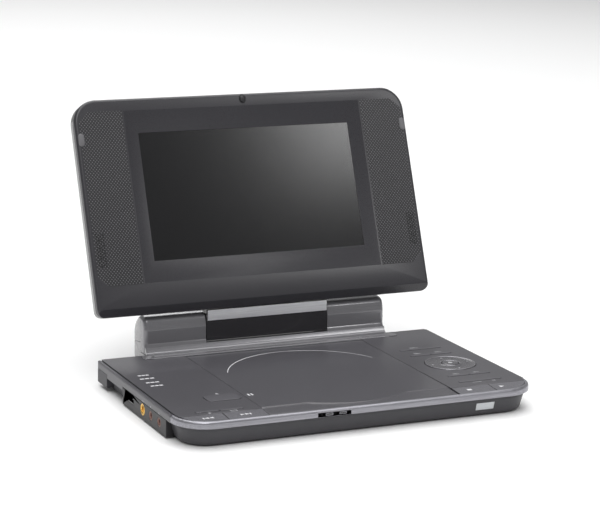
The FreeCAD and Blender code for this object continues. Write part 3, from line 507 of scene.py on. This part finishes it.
def disc_lid():
    half = 63.95
    top = 17.4
    columns = [-half, -half + 0.08, -half + 0.25]
    columns += [-half + 0.8 + (2 * half - 1.6) * i / 120 for i in range(121)]
    columns += [half - 0.25, half - 0.08, half]
    drops = {0: 0.45, 1: 0.16, 2: 0.04}
    points = []
    rows = 0
    for index, x in enumerate(columns):
        drop = drops.get(min(index, len(columns) - 1 - index), 0.0)
        edge = lid_boundary(x)
        line = [
            (66.9, 16.45), (66.75, 16.95), (66.4, 17.28), (65.95, top), (62.0, top), (20.0, top),
            (edge + 1.0, top), (edge + 0.35, top),
        ]
        line += [(edge, top - 0.05), (edge - 0.25, top - 0.22), (edge - 0.5, top - 0.34)]
        slope_start = top - 0.38
        for share in (0.15, 0.4, 0.7, 1.0):
            y = edge - 0.6 + (-76.0 - edge + 0.6) * share
            line.append((y, slope_start - 0.75 * share))
        line += [
            (-76.28, slope_start - 0.9), (-76.4, slope_start - 1.15), (-76.4, 15.5), (-60.0, 15.5),
            (60.0, 15.5), (65.9, 15.5), (66.7, 15.8),
        ]
        rows = len(line)
        for y, z in line:
            points.append((x, y, max(15.5, z - drop) if z > 16.0 else z))
    faces = []
    for c in range(len(columns) - 1):
        for r in range(rows):
            s = (r + 1) % rows
            faces.append((c * rows + r, c * rows + s, (c + 1) * rows + s, (c + 1) * rows + r))
    faces.append(tuple(range(rows)))
    faces.append(tuple(range((len(columns) - 1) * rows, len(columns) * rows))[::-1])
    piece("disc_lid_shell", points, faces, "disc_lid", "disc_lid", replaces=["disc_lid"], smooth=32.0)
    for side in (-1, 1):
        start = 64.0 if side > 0 else -67.2
        rings = [
            [
                (x, 65.95 + 0.6 * math.cos(a), 16.45 + 0.6 * math.sin(a))
                for a in [math.tau * i / 20 for i in range(20)]
            ]
            for x in (start, start + 3.2)
        ]
        piece("disc_lid_pivot" + ("_right" if side > 0 else "_left"), *loft(rings), "disc_lid", "disc_lid")
    hook = [(-63.3, -35.9), (-61.7, -35.9), (-61.7, -32.1), (-63.3, -32.1)]
    prism("disc_lid_hook", hook, 13.0, 15.6, "disc_lid", "disc_lid", bevel=0.3)
    printed_arc()


def strip_mesh(centres, widths, z, thick=0.03):
    """A thin flat strip along a line of (x, y), on a surface at height z."""
    left, right = [], []
    for i, (x, y) in enumerate(centres):
        a = centres[max(i - 1, 0)]
        b = centres[min(i + 1, len(centres) - 1)]
        length = math.hypot(b[0] - a[0], b[1] - a[1])
        nx, ny = -(b[1] - a[1]) / length, (b[0] - a[0]) / length
        w = widths[i] / 2
        left.append((x + nx * w, y + ny * w))
        right.append((x - nx * w, y - ny * w))
    rings = []
    for (lx, ly), (rx, ry) in zip(left, right):
        rings.append([(lx, ly, z - thick), (rx, ry, z - thick), (rx, ry, z + thick), (lx, ly, z + thick)])
    return loft(rings)


def printed_arc():
    radius = 55.5
    angles = [math.radians(160 - (160 - 21.5) * i / 90) for i in range(91)]
    centres = [(-1 + radius * math.cos(a), 1 + radius * math.sin(a)) for a in angles]
    widths = [
        0.25 + 0.45 * math.sin(math.pi * min(1.0, (i + 6) / 55)) if i < 50 else 0.55 - 0.3 * (i - 50) / 40
        for i in range(91)
    ]
    piece("lid_print_arc", *strip_mesh(centres, widths, 17.42), "print", "disc_lid")
    for x in (-61.2, -59.0):
        outline = [(x, -34.6), (x + 1.2, -34.6), (x + 1.2, -30.8), (x, -30.8)]
        prism(f"lid_print_bar_{int(-x)}", outline, 17.39, 17.44, "print", "disc_lid")


# ------------------------------------------------------------------ keys and prints
KEYS = {
    "open_button": (-89.4, -67.4, -39.6, -27.0, 3.0),
    "bright_key": (-105.6, -90.3, -59.6, -56.9, 1.0),
    "size_key": (-89.9, -74.6, -59.6, -56.9, 1.0),
    "select_key": (75.6, 105.8, 28.8, 31.3, 1.0),
    "menu_key": (75.6, 90.5, 13.7, 16.2, 1.0),
    "list_key": (90.9, 105.8, 13.7, 16.2, 1.0),
    "display_key": (75.6, 91.0, -39.9, -37.4, 1.0),
    "return_key": (91.4, 105.8, -39.9, -37.4, 1.0),
    "repeat_key": (75.6, 105.8, -54.7, -52.2, 1.0),
}
NAV = (92.0, -10.4)


def shape(name, polygons, z, material, body, thick=0.04):
    """Flat printed polygons, as one thin piece."""
    skins = [
        loft([[(x, y, z + level) for x, y in polygon] for level in (-thick, thick)])
        for polygon in polygons
    ]
    return piece(name, *joined(skins), material, body)


def triangle(x, y, size, turn=0.0):
    corners = [(size, 0), (-size * 0.7, size * 0.8), (-size * 0.7, -size * 0.8)]
    c, s = math.cos(turn), math.sin(turn)
    return [(x + a * c - b * s, y + a * s + b * c) for a, b in corners]


def bar(x0, x1, y0, y1):
    return [(x0, y0), (x1, y0), (x1, y1), (x0, y1)]


def key_height(y):
    """Height of the front keys' sloping top."""
    return 16.6 + 0.95 * (y + 77.4) / 14.2


def keys():
    for name in KEYS:
        polished(name, "key", 0.22, 2, lambda p: p.z > 17.0)
    for name in ("skip_back_key", "skip_forward_key", "stop_key", "play_key"):
        # The front keys' lighter colour is painted light on their sloping strip.
        polished(name, "front_key_lit", 0.25, 3, lambda p: p.z > 16.3)
    x, y = NAV
    ring = [
        (16.75, 15.5), (16.75, 17.3), (16.6, 17.6), (
            16.35, 17.78,
        ), (16.1, 17.8), (15.9, 17.72), (14.6, 17.52), (12.8, 17.36), (10.8, 17.3),
        (8.8, 17.38), (7.4, 17.55), (6.7, 17.72), (6.35, 17.76), (6.1, 17.68), (5.95, 17.45), (5.95, 15.5),
    ]
    rings = []
    for radius, z in ring + [ring[0]]:
        rings.append(
            [
                (x + radius * math.cos(a), y + radius * math.sin(a), z)
                for a in [math.tau * i / 96 for i in range(96)]
            ]
        )
    piece(
        "nav_ring_dish", *loft(rings, (False, False)), "ring", "nav_ring", replaces=["nav_ring"],
        smooth=50.0,
    )
    for tag, radius, level in (("outer", 16.35, 17.72), ("inner", 6.45, 17.68)):
        bead = [
            (radius + 0.3 * math.cos(a), level + 0.24 * math.sin(a))
            for a in [math.tau * i / 12 for i in range(13)]
        ]
        lathe(
            f"nav_ring_{tag}_edge", bead, (x, y, 0), "Z", "bright_edge", "nav_ring", steps=96,
            caps=(False, False), smooth=60.0,
        )
    button = [(5.6, 15.5), (5.6, 17.4), (5.45, 17.75), (5.0, 17.98), (4.2, 18.05), (2.0, 18.08), (0.0, 18.08)]
    lathe("ok_button_cap", button, (x, y, 0), "Z", "ring", "ok_button", replaces=["ok_button"], smooth=50.0)
    shape(
        "ok_print",
        [[(x + 1.5 * math.cos(a), y + 1.5 * math.sin(a)) for a in [math.tau * i / 24 for i in range(24)]]],
        18.09, "faint_print", "ok_button", 0.02,
    )
    arrows = [
        triangle(x + 12.9 * math.cos(a), y + 12.9 * math.sin(a), 0.9, a)
        for a in (0, math.pi / 2, math.pi, -math.pi / 2)
    ]
    shape("nav_prints", arrows, 17.62, "faint_print", "nav_ring", 0.05)
    key_prints()


def key_prints():
    y = -70.4
    z = key_height(y) + 0.04
    back = [
        triangle(-103.0, y, 1.6, math.pi), triangle(-99.9, y, 1.6, math.pi),
        bar(-105.6, -104.8, y - 1.3, y + 1.3),
    ]
    shape("print_skip_back", back, z, "print", "skip_back_key", 0.13)
    ahead = [triangle(-80.2, y, 1.6), triangle(-77.1, y, 1.6), bar(-75.3, -74.5, y - 1.3, y + 1.3)]
    shape("print_skip_forward", ahead, z, "print", "skip_forward_key", 0.13)
    shape("print_stop", [bar(72.4, 75.4, y - 1.3, y + 1.3)], z, "print", "stop_key", 0.13)
    shape("print_play", [triangle(97.0, y, 1.9)], z, "print", "play_key", 0.13)
    deck_marks = {
        "print_eject": [triangle(-78.4, -23.4, 1.2, math.pi / 2), bar(-79.5, -77.3, -25.4, -24.9)],
        "print_bright": [
            [
                (-98.0 + 0.9 * math.cos(a), -62.2 + 0.9 * math.sin(a))
                for a in [math.tau * i / 16 for i in range(16)]
            ]
        ],
        "print_frame": [
            bar(-84.4, -80.2, -61.3, -60.9), bar(-84.4, -80.2, -63.4, -63.0),
            bar(-84.4, -84.0, -63.0, -61.3), bar(-80.6, -80.2, -63.0, -61.3),
        ],
        "print_select": [bar(84.5, 90.5, 33.2, 33.6), bar(84.5, 88.5, 34.4, 34.8)],
        "print_menu": [bar(80.5, 85.0, 18.3, 18.7), bar(80.5, 85.0, 19.5, 19.9), bar(80.5, 83.5, 20.7, 21.1)],
        "print_list": [bar(96.0, 100.5, 18.3, 18.7), bar(96.0, 99.0, 19.5, 19.9)],
        "print_display": [bar(81.0, 85.2, -35.9, -35.5), bar(81.0, 84.0, -34.7, -34.3)],
        "print_return": [triangle(96.4, -35.2, 1.0, math.pi), bar(97.0, 99.6, -35.4, -35.0)],
        "print_repeat": [bar(83.5, 88.5, -57.4, -57.0), triangle(89.2, -57.2, 0.9)],
        "print_pause": [bar(97.6, 98.2, -58.3, -56.5), bar(98.9, 99.5, -58.3, -56.5)],
    }
    for name, polygons in deck_marks.items():
        shape(name, polygons, DECK + 0.03, "faint_print", "base", 0.05)
    rows = [(-110.1, -102.3, 32.0), (-111.4, -101.3, 24.1), (-110.9, -101.5, 14.5), (-110.5, -102.0, 6.5)]
    blocks = []
    for x0, x1, row in rows:
        step = (x1 - x0) / 3
        blocks += [bar(x0 + i * step, x0 + (i + 0.82) * step, row - 0.9, row + 0.9) for i in range(3)]
    shape("print_rows", blocks, DECK + 0.03, "print", "base", 0.05)


# ------------------------------------------------------------------ front and side fittings
def fittings():
    polished("ir_window", "window", 0.25, 3)
    polished("indicator_insert", "band", 0.15)
    polished("status_lenses", "lens", 0.25, 3)
    marks = []
    for x in (-31.2, -22.2):
        marks.append([(x - 0.9, 13.6), (x - 0.1, 13.6), (x - 0.1, 13.9), (x - 0.9, 13.9)])
        marks.append([(x - 0.9, 14.3), (x - 0.1, 14.3), (x - 0.1, 14.6), (x - 0.9, 14.6)])
    skins = [loft([[(x, y, z) for x, z in mark] for y in (FRONT - 0.03, FRONT + 0.05)]) for mark in marks]
    piece("print_status", *joined(skins), "groove", "base")
    sockets()
    for node, material in (
        ("feet", "rubber"), (
            "case_screws", "dark_steel",
        ), ("dc_inlet", "gloss_black"), ("traverse_chassis", "zinc"),
        ("guide_rods", "steel"), ("drive_motors", "steel"), ("lead_screw", "steel"), ("disc_latch", "panel"),
        ("pickup_sled", "panel"), ("main_board", "board"), ("key_boards", "board"), (
            "tact_switches", "panel",
        ),
        ("battery_cells", "cell"), ("hinge_barrels", "steel"), ("arm_frame", "zinc"), (
            "lower_hinge_pin", "steel",
        ),
        (
            "upper_hinge_pin", "steel",
        ), ("panel_frame", "steel"), ("display_board", "board"), ("speakers", "cone"),
        ("multi_socket", "gloss_black"),
    ):
        dress_node(node, material)
    polished("turntable", "gloss_black", 0.2)


def dress_node(node, material):
    """A CAD node that stays as it is gets its finished material."""
    mesh = NODES[node].data
    mesh.materials.clear()
    mesh.materials.append(M[material])
    for polygon in mesh.polygons:
        polygon.material_index = 0


def sockets():
    mouth = -HALF
    gold = [
        (1.75, 12.0), (1.75, 0.5), (1.85, 0.1), (2.1, -0.1), (2.6, 0.05), (2.75, 0.25), (3.0, 0.1),
        (3.4, -0.1), (3.75, 0.05), (3.8, 0.4), (3.8, 12.0),
    ]
    lathe(
        "av_jack_barrel", gold, (mouth, -7.4, 7.2), "X", "gold", "base", caps=(False, False),
        replaces=["av_jack"], smooth=50.0,
    )
    ring = [
        (1.75, 12.0), (1.75, 0.8), (1.95, 0.35), (2.3, 0.12), (2.7, 0.05), (2.95, 0.2), (3.0, 0.6),
        (3.0, 12.0),
    ]
    first = True
    for y in (-21.8, -36.6):
        name = f"phone_jack_{'rear' if first else 'front'}"
        lathe(
            name, ring, (mouth, y, 7.2), "X", "copper", "base", caps=(False, False),
            replaces=["headphone_jacks"] if first else (), smooth=50.0,
        )
        first = False
    # Painted shade: a dark lining inside each jack's bore stands in for the shade deep in the hole.
    for name, y in (("av", -7.4), ("rear", -21.8), ("front", -36.6)):
        lathe(
            f"jack_bore_shade_{name}", [(1.78, 1.2), (1.78, 11.5), (0.0, 11.5)], (mouth, y, 7.2), "X",
            "socket_dark", "base", caps=(False, True),
        )
    marks = [bar(-9.0, -5.8, 12.55, 12.85)]
    for y in (-21.8, -36.6):
        arc = [
            (y + 1.1 * math.cos(a), 12.1 + 1.1 * math.sin(a))
            for a in [math.pi * i / 12 for i in range(13)]
        ]
        arc += [
            (y + 0.75 * math.cos(a), 12.1 + 0.75 * math.sin(a))
            for a in [math.pi - math.pi * i / 12 for i in range(13)]
        ]
        marks.append(arc)
    skins = [loft([[(x, y, z) for y, z in mark] for x in (mouth - 0.03, mouth + 0.03)]) for mark in marks]
    piece("print_jacks", *joined(skins), "faint_print", "base")


# ------------------------------------------------------------------ hinge housing and arm
FLANGE = [(68.0, 0.05), (68.05, 0.3), (68.25, 0.42), (74.6, 0.45), (75.6, 0.5)]
RIDGE = [(75.6, 0.5), (76.6, 0.72), (77.3, 1.05), (77.9, 1.6), (78.4, 2.4), (78.9, 3.4), (79.4, 4.5)]
FACE = [(79.4, 4.5), (79.8, 5.6), (80.15, 6.6)]
WALL = [(80.4, 7.0), (80.4, 12.0), (80.45, 16.6)]
SHOULDER = [(80.75, 17.3), (81.1, 19.2), (81.7, 21.0)]
TOP = [(81.9, 21.6), (82.8, 22.9), (84.1, 23.9), (85.8, 24.6), (88.0, 24.9)]
HOUSING_HALF = 88.0
FLANGE_HALF = 92.6
HALF_GAP = 44.6
END_ROUND = 3.2


def raised(points):
    return [(y, DECK + z) for y, z in points]


def outward(line):
    """Outward unit normals along a line that runs clockwise round its solid."""
    normals = []
    for i in range(len(line)):
        (y0, z0), (y1, z1) = line[max(i - 1, 0)], line[min(i + 1, len(line) - 1)]
        length = math.hypot(y1 - y0, z1 - z0)
        normals.append((-(z1 - z0) / length, (y1 - y0) / length))
    return normals


def rounded_end(name, profile, normals, inner, outer, material, **rest):
    """A (y, z) profile drawn out along X, rounded over at its outer end against its normals."""
    sign = 1 if outer > inner else -1
    places = [(inner, 0.0), (outer - sign * END_ROUND, 0.0)]
    for i in range(1, 9):
        a = math.radians(90.0 * i / 8)
        places.append((outer - sign * END_ROUND * (1 - math.sin(a)), END_ROUND * (1 - math.cos(a))))
    rings = []
    for x, inset in places:
        rings.append([(x, y - ny * inset, z - nz * inset) for (y, z), (ny, nz) in zip(profile, normals)])
    return piece(name, *loft(rings), material, "base", **rest)


def housing():
    wall = smooth_line(FACE, 3)[:-1] + smooth_line(WALL, 3) + smooth_line(SHOULDER, 3) + smooth_line(TOP, 5)
    side_profile = raised(wall + [(88.0, 0.2), (79.4, 0.2)])
    side_normals = outward(raised(wall)) + [(0, 0), (-1, 0)]
    foot_profile = raised(FLANGE[:-1] + smooth_line(RIDGE, 4) + [(83.0, 4.5), (83.0, 0.05)])
    low_front = [(x, DECK + z) for x, z in ((82.0, 4.5), (98.0, 4.5), (98.0, 2.8), (82.0, 2.8))]
    section("housing_ledge", low_front, -HALF_GAP, HALF_GAP, "housing", "base", smooth=38.0)
    section(
        "housing_foot_ridge", foot_profile, -HOUSING_HALF + 0.4, HOUSING_HALF - 0.4, "housing", "base",
        bevel=0.4, segments=3, replaces=["housing_foot"], smooth=38.0,
    )
    for side, tag in ((-1, "left"), (1, "right")):
        outline = [
            (side * x, y) for x, y in (
                (86.0, 68.0), (91.0, 68.0), (92.3, 68.5), (FLANGE_HALF, 69.4),
                (92.0, 74.6), (90.6, 77.2), (87.0, 78.0),
            )
        ]
        prism("housing_flange_" + tag, outline, DECK - 0.02, DECK + 0.42, "housing", "base", bevel=0.15)
        first = ["housing_front"] if side < 0 else ()
        rounded_end(
            "housing_cover_" + tag, side_profile, side_normals, side * HALF_GAP, side * HOUSING_HALF,
            "housing", replaces=first, smooth=24.0,
        )
    # Painted shade: a dark disc on the flange stands in for the dark inside of its screw hole.
    screw = [
        (-85.3 + 0.95 * math.cos(a), 71.9 + 0.95 * math.sin(a))
        for a in [math.tau * i / 20 for i in range(20)]
    ]
    prism("flange_hole_shade", screw, DECK + 0.2, DECK + 0.47, "hole", "base")
    rear = [(88.05, 42.35)]
    rear += [
        (88.05 + 15.05 * math.sin(a), 27.3 + 15.05 * math.cos(a))
        for a in [math.radians(5 + 85 * i / 20) for i in range(21)]
    ]
    lower = [
        (93.1 + 10.0 * math.cos(a), 15.0 + 10.0 * math.sin(a))
        for a in [math.radians(-90 * i / 14) for i in range(15)]
    ]
    first = True
    for side, tag in ((-1, "left"), (1, "right")):
        upper_profile = rear + [(103.1, 23.2), (102.8, 22.9), (88.05, 24.6)]
        upper_normals = outward(rear) + [(1, 0), (1, 0), (0, 0)]
        replaced = ["housing_rear"] if first else ()
        rounded_end(
            "housing_back_" + tag, upper_profile, upper_normals, side * HALF_GAP, side * HOUSING_HALF,
            "housing_back", replaces=replaced, smooth=30.0,
        )
        lower_profile = [
            (88.05, 24.3), (102.8, 22.6), (103.1, 22.3),
        ] + lower + [(79.3, 5.0), (79.3, 17.3), (88.05, 17.3)]
        lower_normals = [(0, 0), (1, 0), (1, 0)] + outward(lower) + [(0, -1), (0, 0), (0, 0)]
        rounded_end(
            "housing_under_" + tag, lower_profile, lower_normals, side * HALF_GAP, side * HOUSING_HALF,
            "housing_back", smooth=30.0,
        )
        first = False
    middle = [(101.5, 21.8), (102.8, 21.6), (103.1, 21.2)] + lower + [
        (79.3, 5.0), (79.3, 6.8), (93.1, 6.8), (101.3, 15.0),
    ]
    section("housing_under_middle", middle, -HALF_GAP, HALF_GAP, "housing_back", "base", smooth=38.0)


def arm():
    polished("arm_front", "arm", 0.35, 3)
    polished("arm_rear", "arm", 0.5, 3)
    polished("arm_plate", "plate", 0.12, 2)
    face = 79.62
    lines = []
    for x0, x1 in ((-40.0, -14.0), (14.0, 40.0)):
        lines.append([(x0, 40.35), (x1, 40.35), (x1, 40.6), (x0, 40.6)])
    skins = [loft([[(x, y, z) for x, z in mark] for y in (face, face + 0.2)]) for mark in lines]
    piece("arm_plate_lines", *joined(skins), "print", "arm")


# ------------------------------------------------------------------ display
TOP_V, CHIN = 141.0, 4.6
LOW_ROUND = 6.0


def display_ring(inset, z, low_v=None, low_z=None):
    """One ring of the display's outline, with the chin's slope below the crease."""
    corner = max(16.0 - inset, 2.0)
    low = max(5.5 - inset, 1.0)
    ring = []
    for x, v in rounded(HALF - inset, -CHIN + inset, TOP_V - inset, low, corner, 14):
        zz = z
        if low_v is not None and v < low_v:
            v = low_v
            zz = low_z
        elif v < 0:
            zz = min(z, v * 4.3 / 5.6)
        ring.append((x, v, zz))
    return ring


def bezel():
    rings = [
        display_ring(0.55, -4.3), display_ring(0.0, -4.05), display_ring(0.0, -2.2), display_ring(
            0.12, -1.45,
        ),
        display_ring(
            0.45, -0.78,
        ), display_ring(0.95, -0.32), display_ring(1.6, -0.07), display_ring(2.3, 0.0),
        display_ring(2.4, 0.0, 0.25, -0.12), display_ring(2.5, 0.0, 1.3, 0.0),
    ]
    points, faces = loft(rings, (False, False))
    outer = points[-len(rings[0]):]
    mesh_points = list(points)
    slope_outer = [(-86.4, 15.4), (86.4, 15.4), (86.4, 132.6), (-86.4, 132.6)]
    slope_inner = [(-77.0, 30.3), (77.0, 30.3), (77.0, 117.5), (-77.0, 117.5)]
    work = bmesh.new()
    outer_verts = [work.verts.new(p) for p in outer]
    inner_verts = [work.verts.new((x, v, 0.0)) for x, v in slope_outer]
    edges = [work.edges.new((a, b)) for a, b in zip(outer_verts, outer_verts[1:] + outer_verts[:1])]
    edges += [work.edges.new((a, b)) for a, b in zip(inner_verts, inner_verts[1:] + inner_verts[:1])]
    bmesh.ops.triangle_fill(work, edges=edges, use_beauty=True)
    work.verts.index_update()
    start = len(points) - len(outer)
    table = {}
    for i, vertex in enumerate(outer_verts):
        table[vertex] = start + i
    for vertex in inner_verts:
        table[vertex] = len(mesh_points)
        mesh_points.append(tuple(vertex.co))
    for face in work.faces:
        faces.append(tuple(table[v] for v in face.verts))
    slope_start = [table[v] for v in inner_verts]
    work.free()
    previous = slope_start
    steps = [(-0.12, 0.02), (-2.38, 0.98), (-2.5, 1.0), (-3.1, 1.0)]
    for z, share in steps:
        ring = []
        for (ox, ov), (ix, iv) in zip(slope_outer, slope_inner):
            ring.append(len(mesh_points))
            mesh_points.append((ox + (ix - ox) * share, ov + (iv - ov) * share, z))
        for i in range(4):
            j = (i + 1) % 4
            faces.append((previous[i], previous[j], ring[j], ring[i]))
        previous = ring
    piece("bezel_frame", mesh_points, faces, "bezel", "display", DISPLAY, replaces=["bezel"], smooth=25.0)


def rear_outline(inset):
    corner = max(16.0 - inset, 3.0)
    low = max(5.5 - inset, 1.5)
    ring = rounded(HALF - inset, -CHIN + inset, TOP_V - inset, low, corner, 14)
    notch = [
        (-26.0 - inset, -CHIN + inset), (-26.0 - inset, 5.6 + inset), (26.0 + inset, 5.6 + inset),
        (26.0 + inset, -CHIN + inset),
    ]
    return ring + notch


def rear():
    levels = [
        (0.55, -4.55), (0.0, -4.8), (0.0, -6.2), (0.0, -7.2), (0.0, -8.2), (0.0, -9.2), (0.15, -10.1),
        (0.55, -10.9),
    ]
    levels += [(1.2, -11.5), (2.1, -11.88), (3.2, -12.0)]
    rings = []
    for inset, z in levels:
        depth = max(0.0, -LOW_ROUND - z)
        lowest = -CHIN + inset + LOW_ROUND - math.sqrt(LOW_ROUND**2 - depth**2)
        rings.append([(x, max(v, lowest), z) for x, v in rear_outline(inset)])
    piece("rear_shell", *loft(rings), "shell", "display", DISPLAY, replaces=["rear_cover"], smooth=35.0)
    middle = [[(x, v, z) for x, v in rear_outline(0.6)] for z in (-4.6, -4.2)]
    piece("parting_line", *loft(middle, (False, False)), "groove", "display", DISPLAY)


def screen():
    outline = [(-77.4, 29.9), (77.4, 29.9), (77.4, 117.9), (-77.4, 117.9)]
    prism("screen_glass", outline, -4.25, -2.72, "film", "display", where=DISPLAY, replaces=["screen_panel"])


def stud_lattice(p):
    """Staggered cells, one stud in each; the grille colours each stud lighter as a painted highlight."""
    across, along = p.x / 2.2, p.y / 2.5
    return across + along, across - along


def grilles():
    for side in (-1, 1):
        inner, outer, low, high, cut = 87.4, 118.3, 15.4, 132.6, 7.0
        outline = [
            (inner, low), (outer - cut, low), (outer, low + cut), (outer, high - cut), (outer - cut, high),
            (inner, high),
        ]
        outline = [(side * x, v) for x, v in outline]
        tag = "left" if side < 0 else "right"
        prism("grille_" + tag, outline, -0.3, 0.04, "grille", "display", where=DISPLAY, uv=stud_lattice)
        # Painted shade: dark discs standing proud of the grille stand in for the dark insides of the vent
        # holes.
        skins = []
        for column in range(4):
            for row in range(13):
                x = side * (111.4 + column * 1.55)
                v = 28.8 + row * 1.75 + (column % 2) * 0.87
                hole = [
                    (x + 0.55 * math.cos(a), v + 0.55 * math.sin(a))
                    for a in [math.tau * i / 8 for i in range(8)]
                ]
                skins.append(loft([[(a, b, z) for a, b in hole] for z in (-0.2, 0.07)]))
        piece("vent_shade_" + tag, *joined(skins), "hole", "display", DISPLAY)


def pill(cx, cv, half_w, half_h, steps=10):
    points = []
    for start, sign in ((0, 1), (180, -1)):
        for i in range(steps + 1):
            a = math.radians(start + 180.0 * i / steps)
            points.append((cx + half_w * math.cos(a), cv + sign * (half_h - half_w) + half_w * math.sin(a)))
    return points


def display_trim():
    for side in (-1, 1):
        rings = []
        for inset, z in ((0.0, -0.1), (0.0, 0.25), (0.3, 0.55), (0.9, 0.74)):
            rings.append([(x, v, z) for x, v in pill(side * 117.8, 114.0, 2.1 - inset, 4.4 - inset)])
        piece(
            "lid_pad_" + ("left" if side < 0 else "right"), *loft(rings), "pad", "display", DISPLAY,
            replaces=["lid_pads"] if side < 0 else (), smooth=50.0,
        )
    nose = ((0.0, -0.2), (0.0, 0.5), (0.35, 0.95), (0.8, 1.15))
    rings = [[(x, v, z) for x, v in pill(0.0, 137.0, 1.9 - inset, 2.4 - inset)] for inset, z in nose]
    piece("lid_catch_nose", *loft(rings), "panel", "display", DISPLAY, replaces=["lid_catch"], smooth=50.0)
    rings = [[(x, v, z) for x, v in pill(0.0, 137.0, 2.5, 3.1)] for z in (-0.1, 0.03)]
    piece("lid_catch_seat", *loft(rings), "groove", "display", DISPLAY)


# ------------------------------------------------------------------ stage, lights and camera
def stage():
    floor_mesh = bpy.data.meshes.new("floor")
    size = 3.0
    floor_mesh.from_pydata(
        [(-size, -size, 0), (size, -size, 0), (size, size, 0), (-size, size, 0)], [], [(0, 1, 2, 3)],
    )
    floor = bpy.data.objects.new("floor", floor_mesh)
    bpy.context.scene.collection.objects.link(floor)
    material, nodes, links, surface = shader("floor")
    surface.inputs["Base Color"].default_value = (0.95, 0.95, 0.95, 1)
    surface.inputs["Roughness"].default_value = 0.9
    surface.inputs["Specular IOR Level"].default_value = 0.1
    floor_mesh.materials.append(material)
    world = bpy.data.worlds.new("studio")
    world.use_nodes = True
    nodes, links = world.node_tree.nodes, world.node_tree.links
    around = nodes["Background"]
    around.inputs["Strength"].default_value = 0.32
    backdrop = nodes.new("ShaderNodeBackground")
    for background in (around, backdrop):
        background.inputs["Color"].default_value = (1.0, 1.0, 1.0, 1)
    path = nodes.new("ShaderNodeLightPath")
    mix = nodes.new("ShaderNodeMixShader")
    links.new(path.outputs["Is Camera Ray"], mix.inputs["Fac"])
    links.new(around.outputs["Background"], mix.inputs[1])
    links.new(backdrop.outputs["Background"], mix.inputs[2])
    links.new(mix.outputs["Shader"], nodes["World Output"].inputs["Surface"])
    bpy.context.scene.world = world


def area(name, place, target, size, power, shape_size=None):
    light = bpy.data.lights.new(name, "AREA")
    light.shape = "RECTANGLE"
    light.size = size
    light.size_y = shape_size or size
    light.energy = power
    thing = bpy.data.objects.new(name, light)
    thing.location = place
    direction = Vector(target) - Vector(place)
    thing.rotation_euler = direction.to_track_quat("-Z", "Y").to_euler()
    bpy.context.scene.collection.objects.link(thing)


def lights():
    area("top_light", (0, 0, 2.2), (0, 0, 0), 2.4, 46)
    area("key_light", (-0.9, -1.5, 1.9), (0, 0, 0.05), 1.0, 13)
    area("screen_light", (1.24, -1.78, 1.58), (0, 0, 0.12), 0.38, 4.2)
    area("rear_light", (0.3, 2.3, 1.9), (0, 1.2, 0), 1.6, 22)
    bpy.context.scene.view_settings.view_transform = "Standard"


def camera():
    focal, centre_x, centre_y = 2119.4, 298.57, 260.61
    azimuth, elevation, roll = (math.radians(a) for a in (-24.04, 12.22, -0.89))
    forward = Vector(
        (
            -math.sin(azimuth) * math.cos(elevation), math.cos(azimuth) * math.cos(elevation),
            -math.sin(elevation),
        )
    )
    right = Vector((math.cos(azimuth), math.sin(azimuth), 0))
    down = -right.cross(forward)
    turned_right = math.cos(roll) * right + math.sin(roll) * down
    turned_down = -math.sin(roll) * right + math.cos(roll) * down
    data = bpy.data.cameras.new("view")
    data.sensor_width = 36.0
    data.lens = 36.0 * focal / 600.0
    data.shift_x = (300.0 - centre_x) / 600.0
    data.shift_y = (centre_y - 266.0) / 600.0
    data.clip_end = 50.0
    thing = bpy.data.objects.new("view", data)
    rotation = Matrix((turned_right, -turned_down, -forward)).transposed().to_4x4()
    place = Vector((-548.4, -1199.1 - ORIGIN_BACK, 359.0 + DECK)) * MM
    thing.matrix_world = Matrix.Translation(place) @ rotation
    bpy.context.scene.collection.objects.link(thing)
    bpy.context.scene.camera = thing


base_casing()
disc_lid()
keys()
fittings()
housing()
arm()
bezel()
rear()
screen()
grilles()
display_trim()
stage()
lights()
camera()
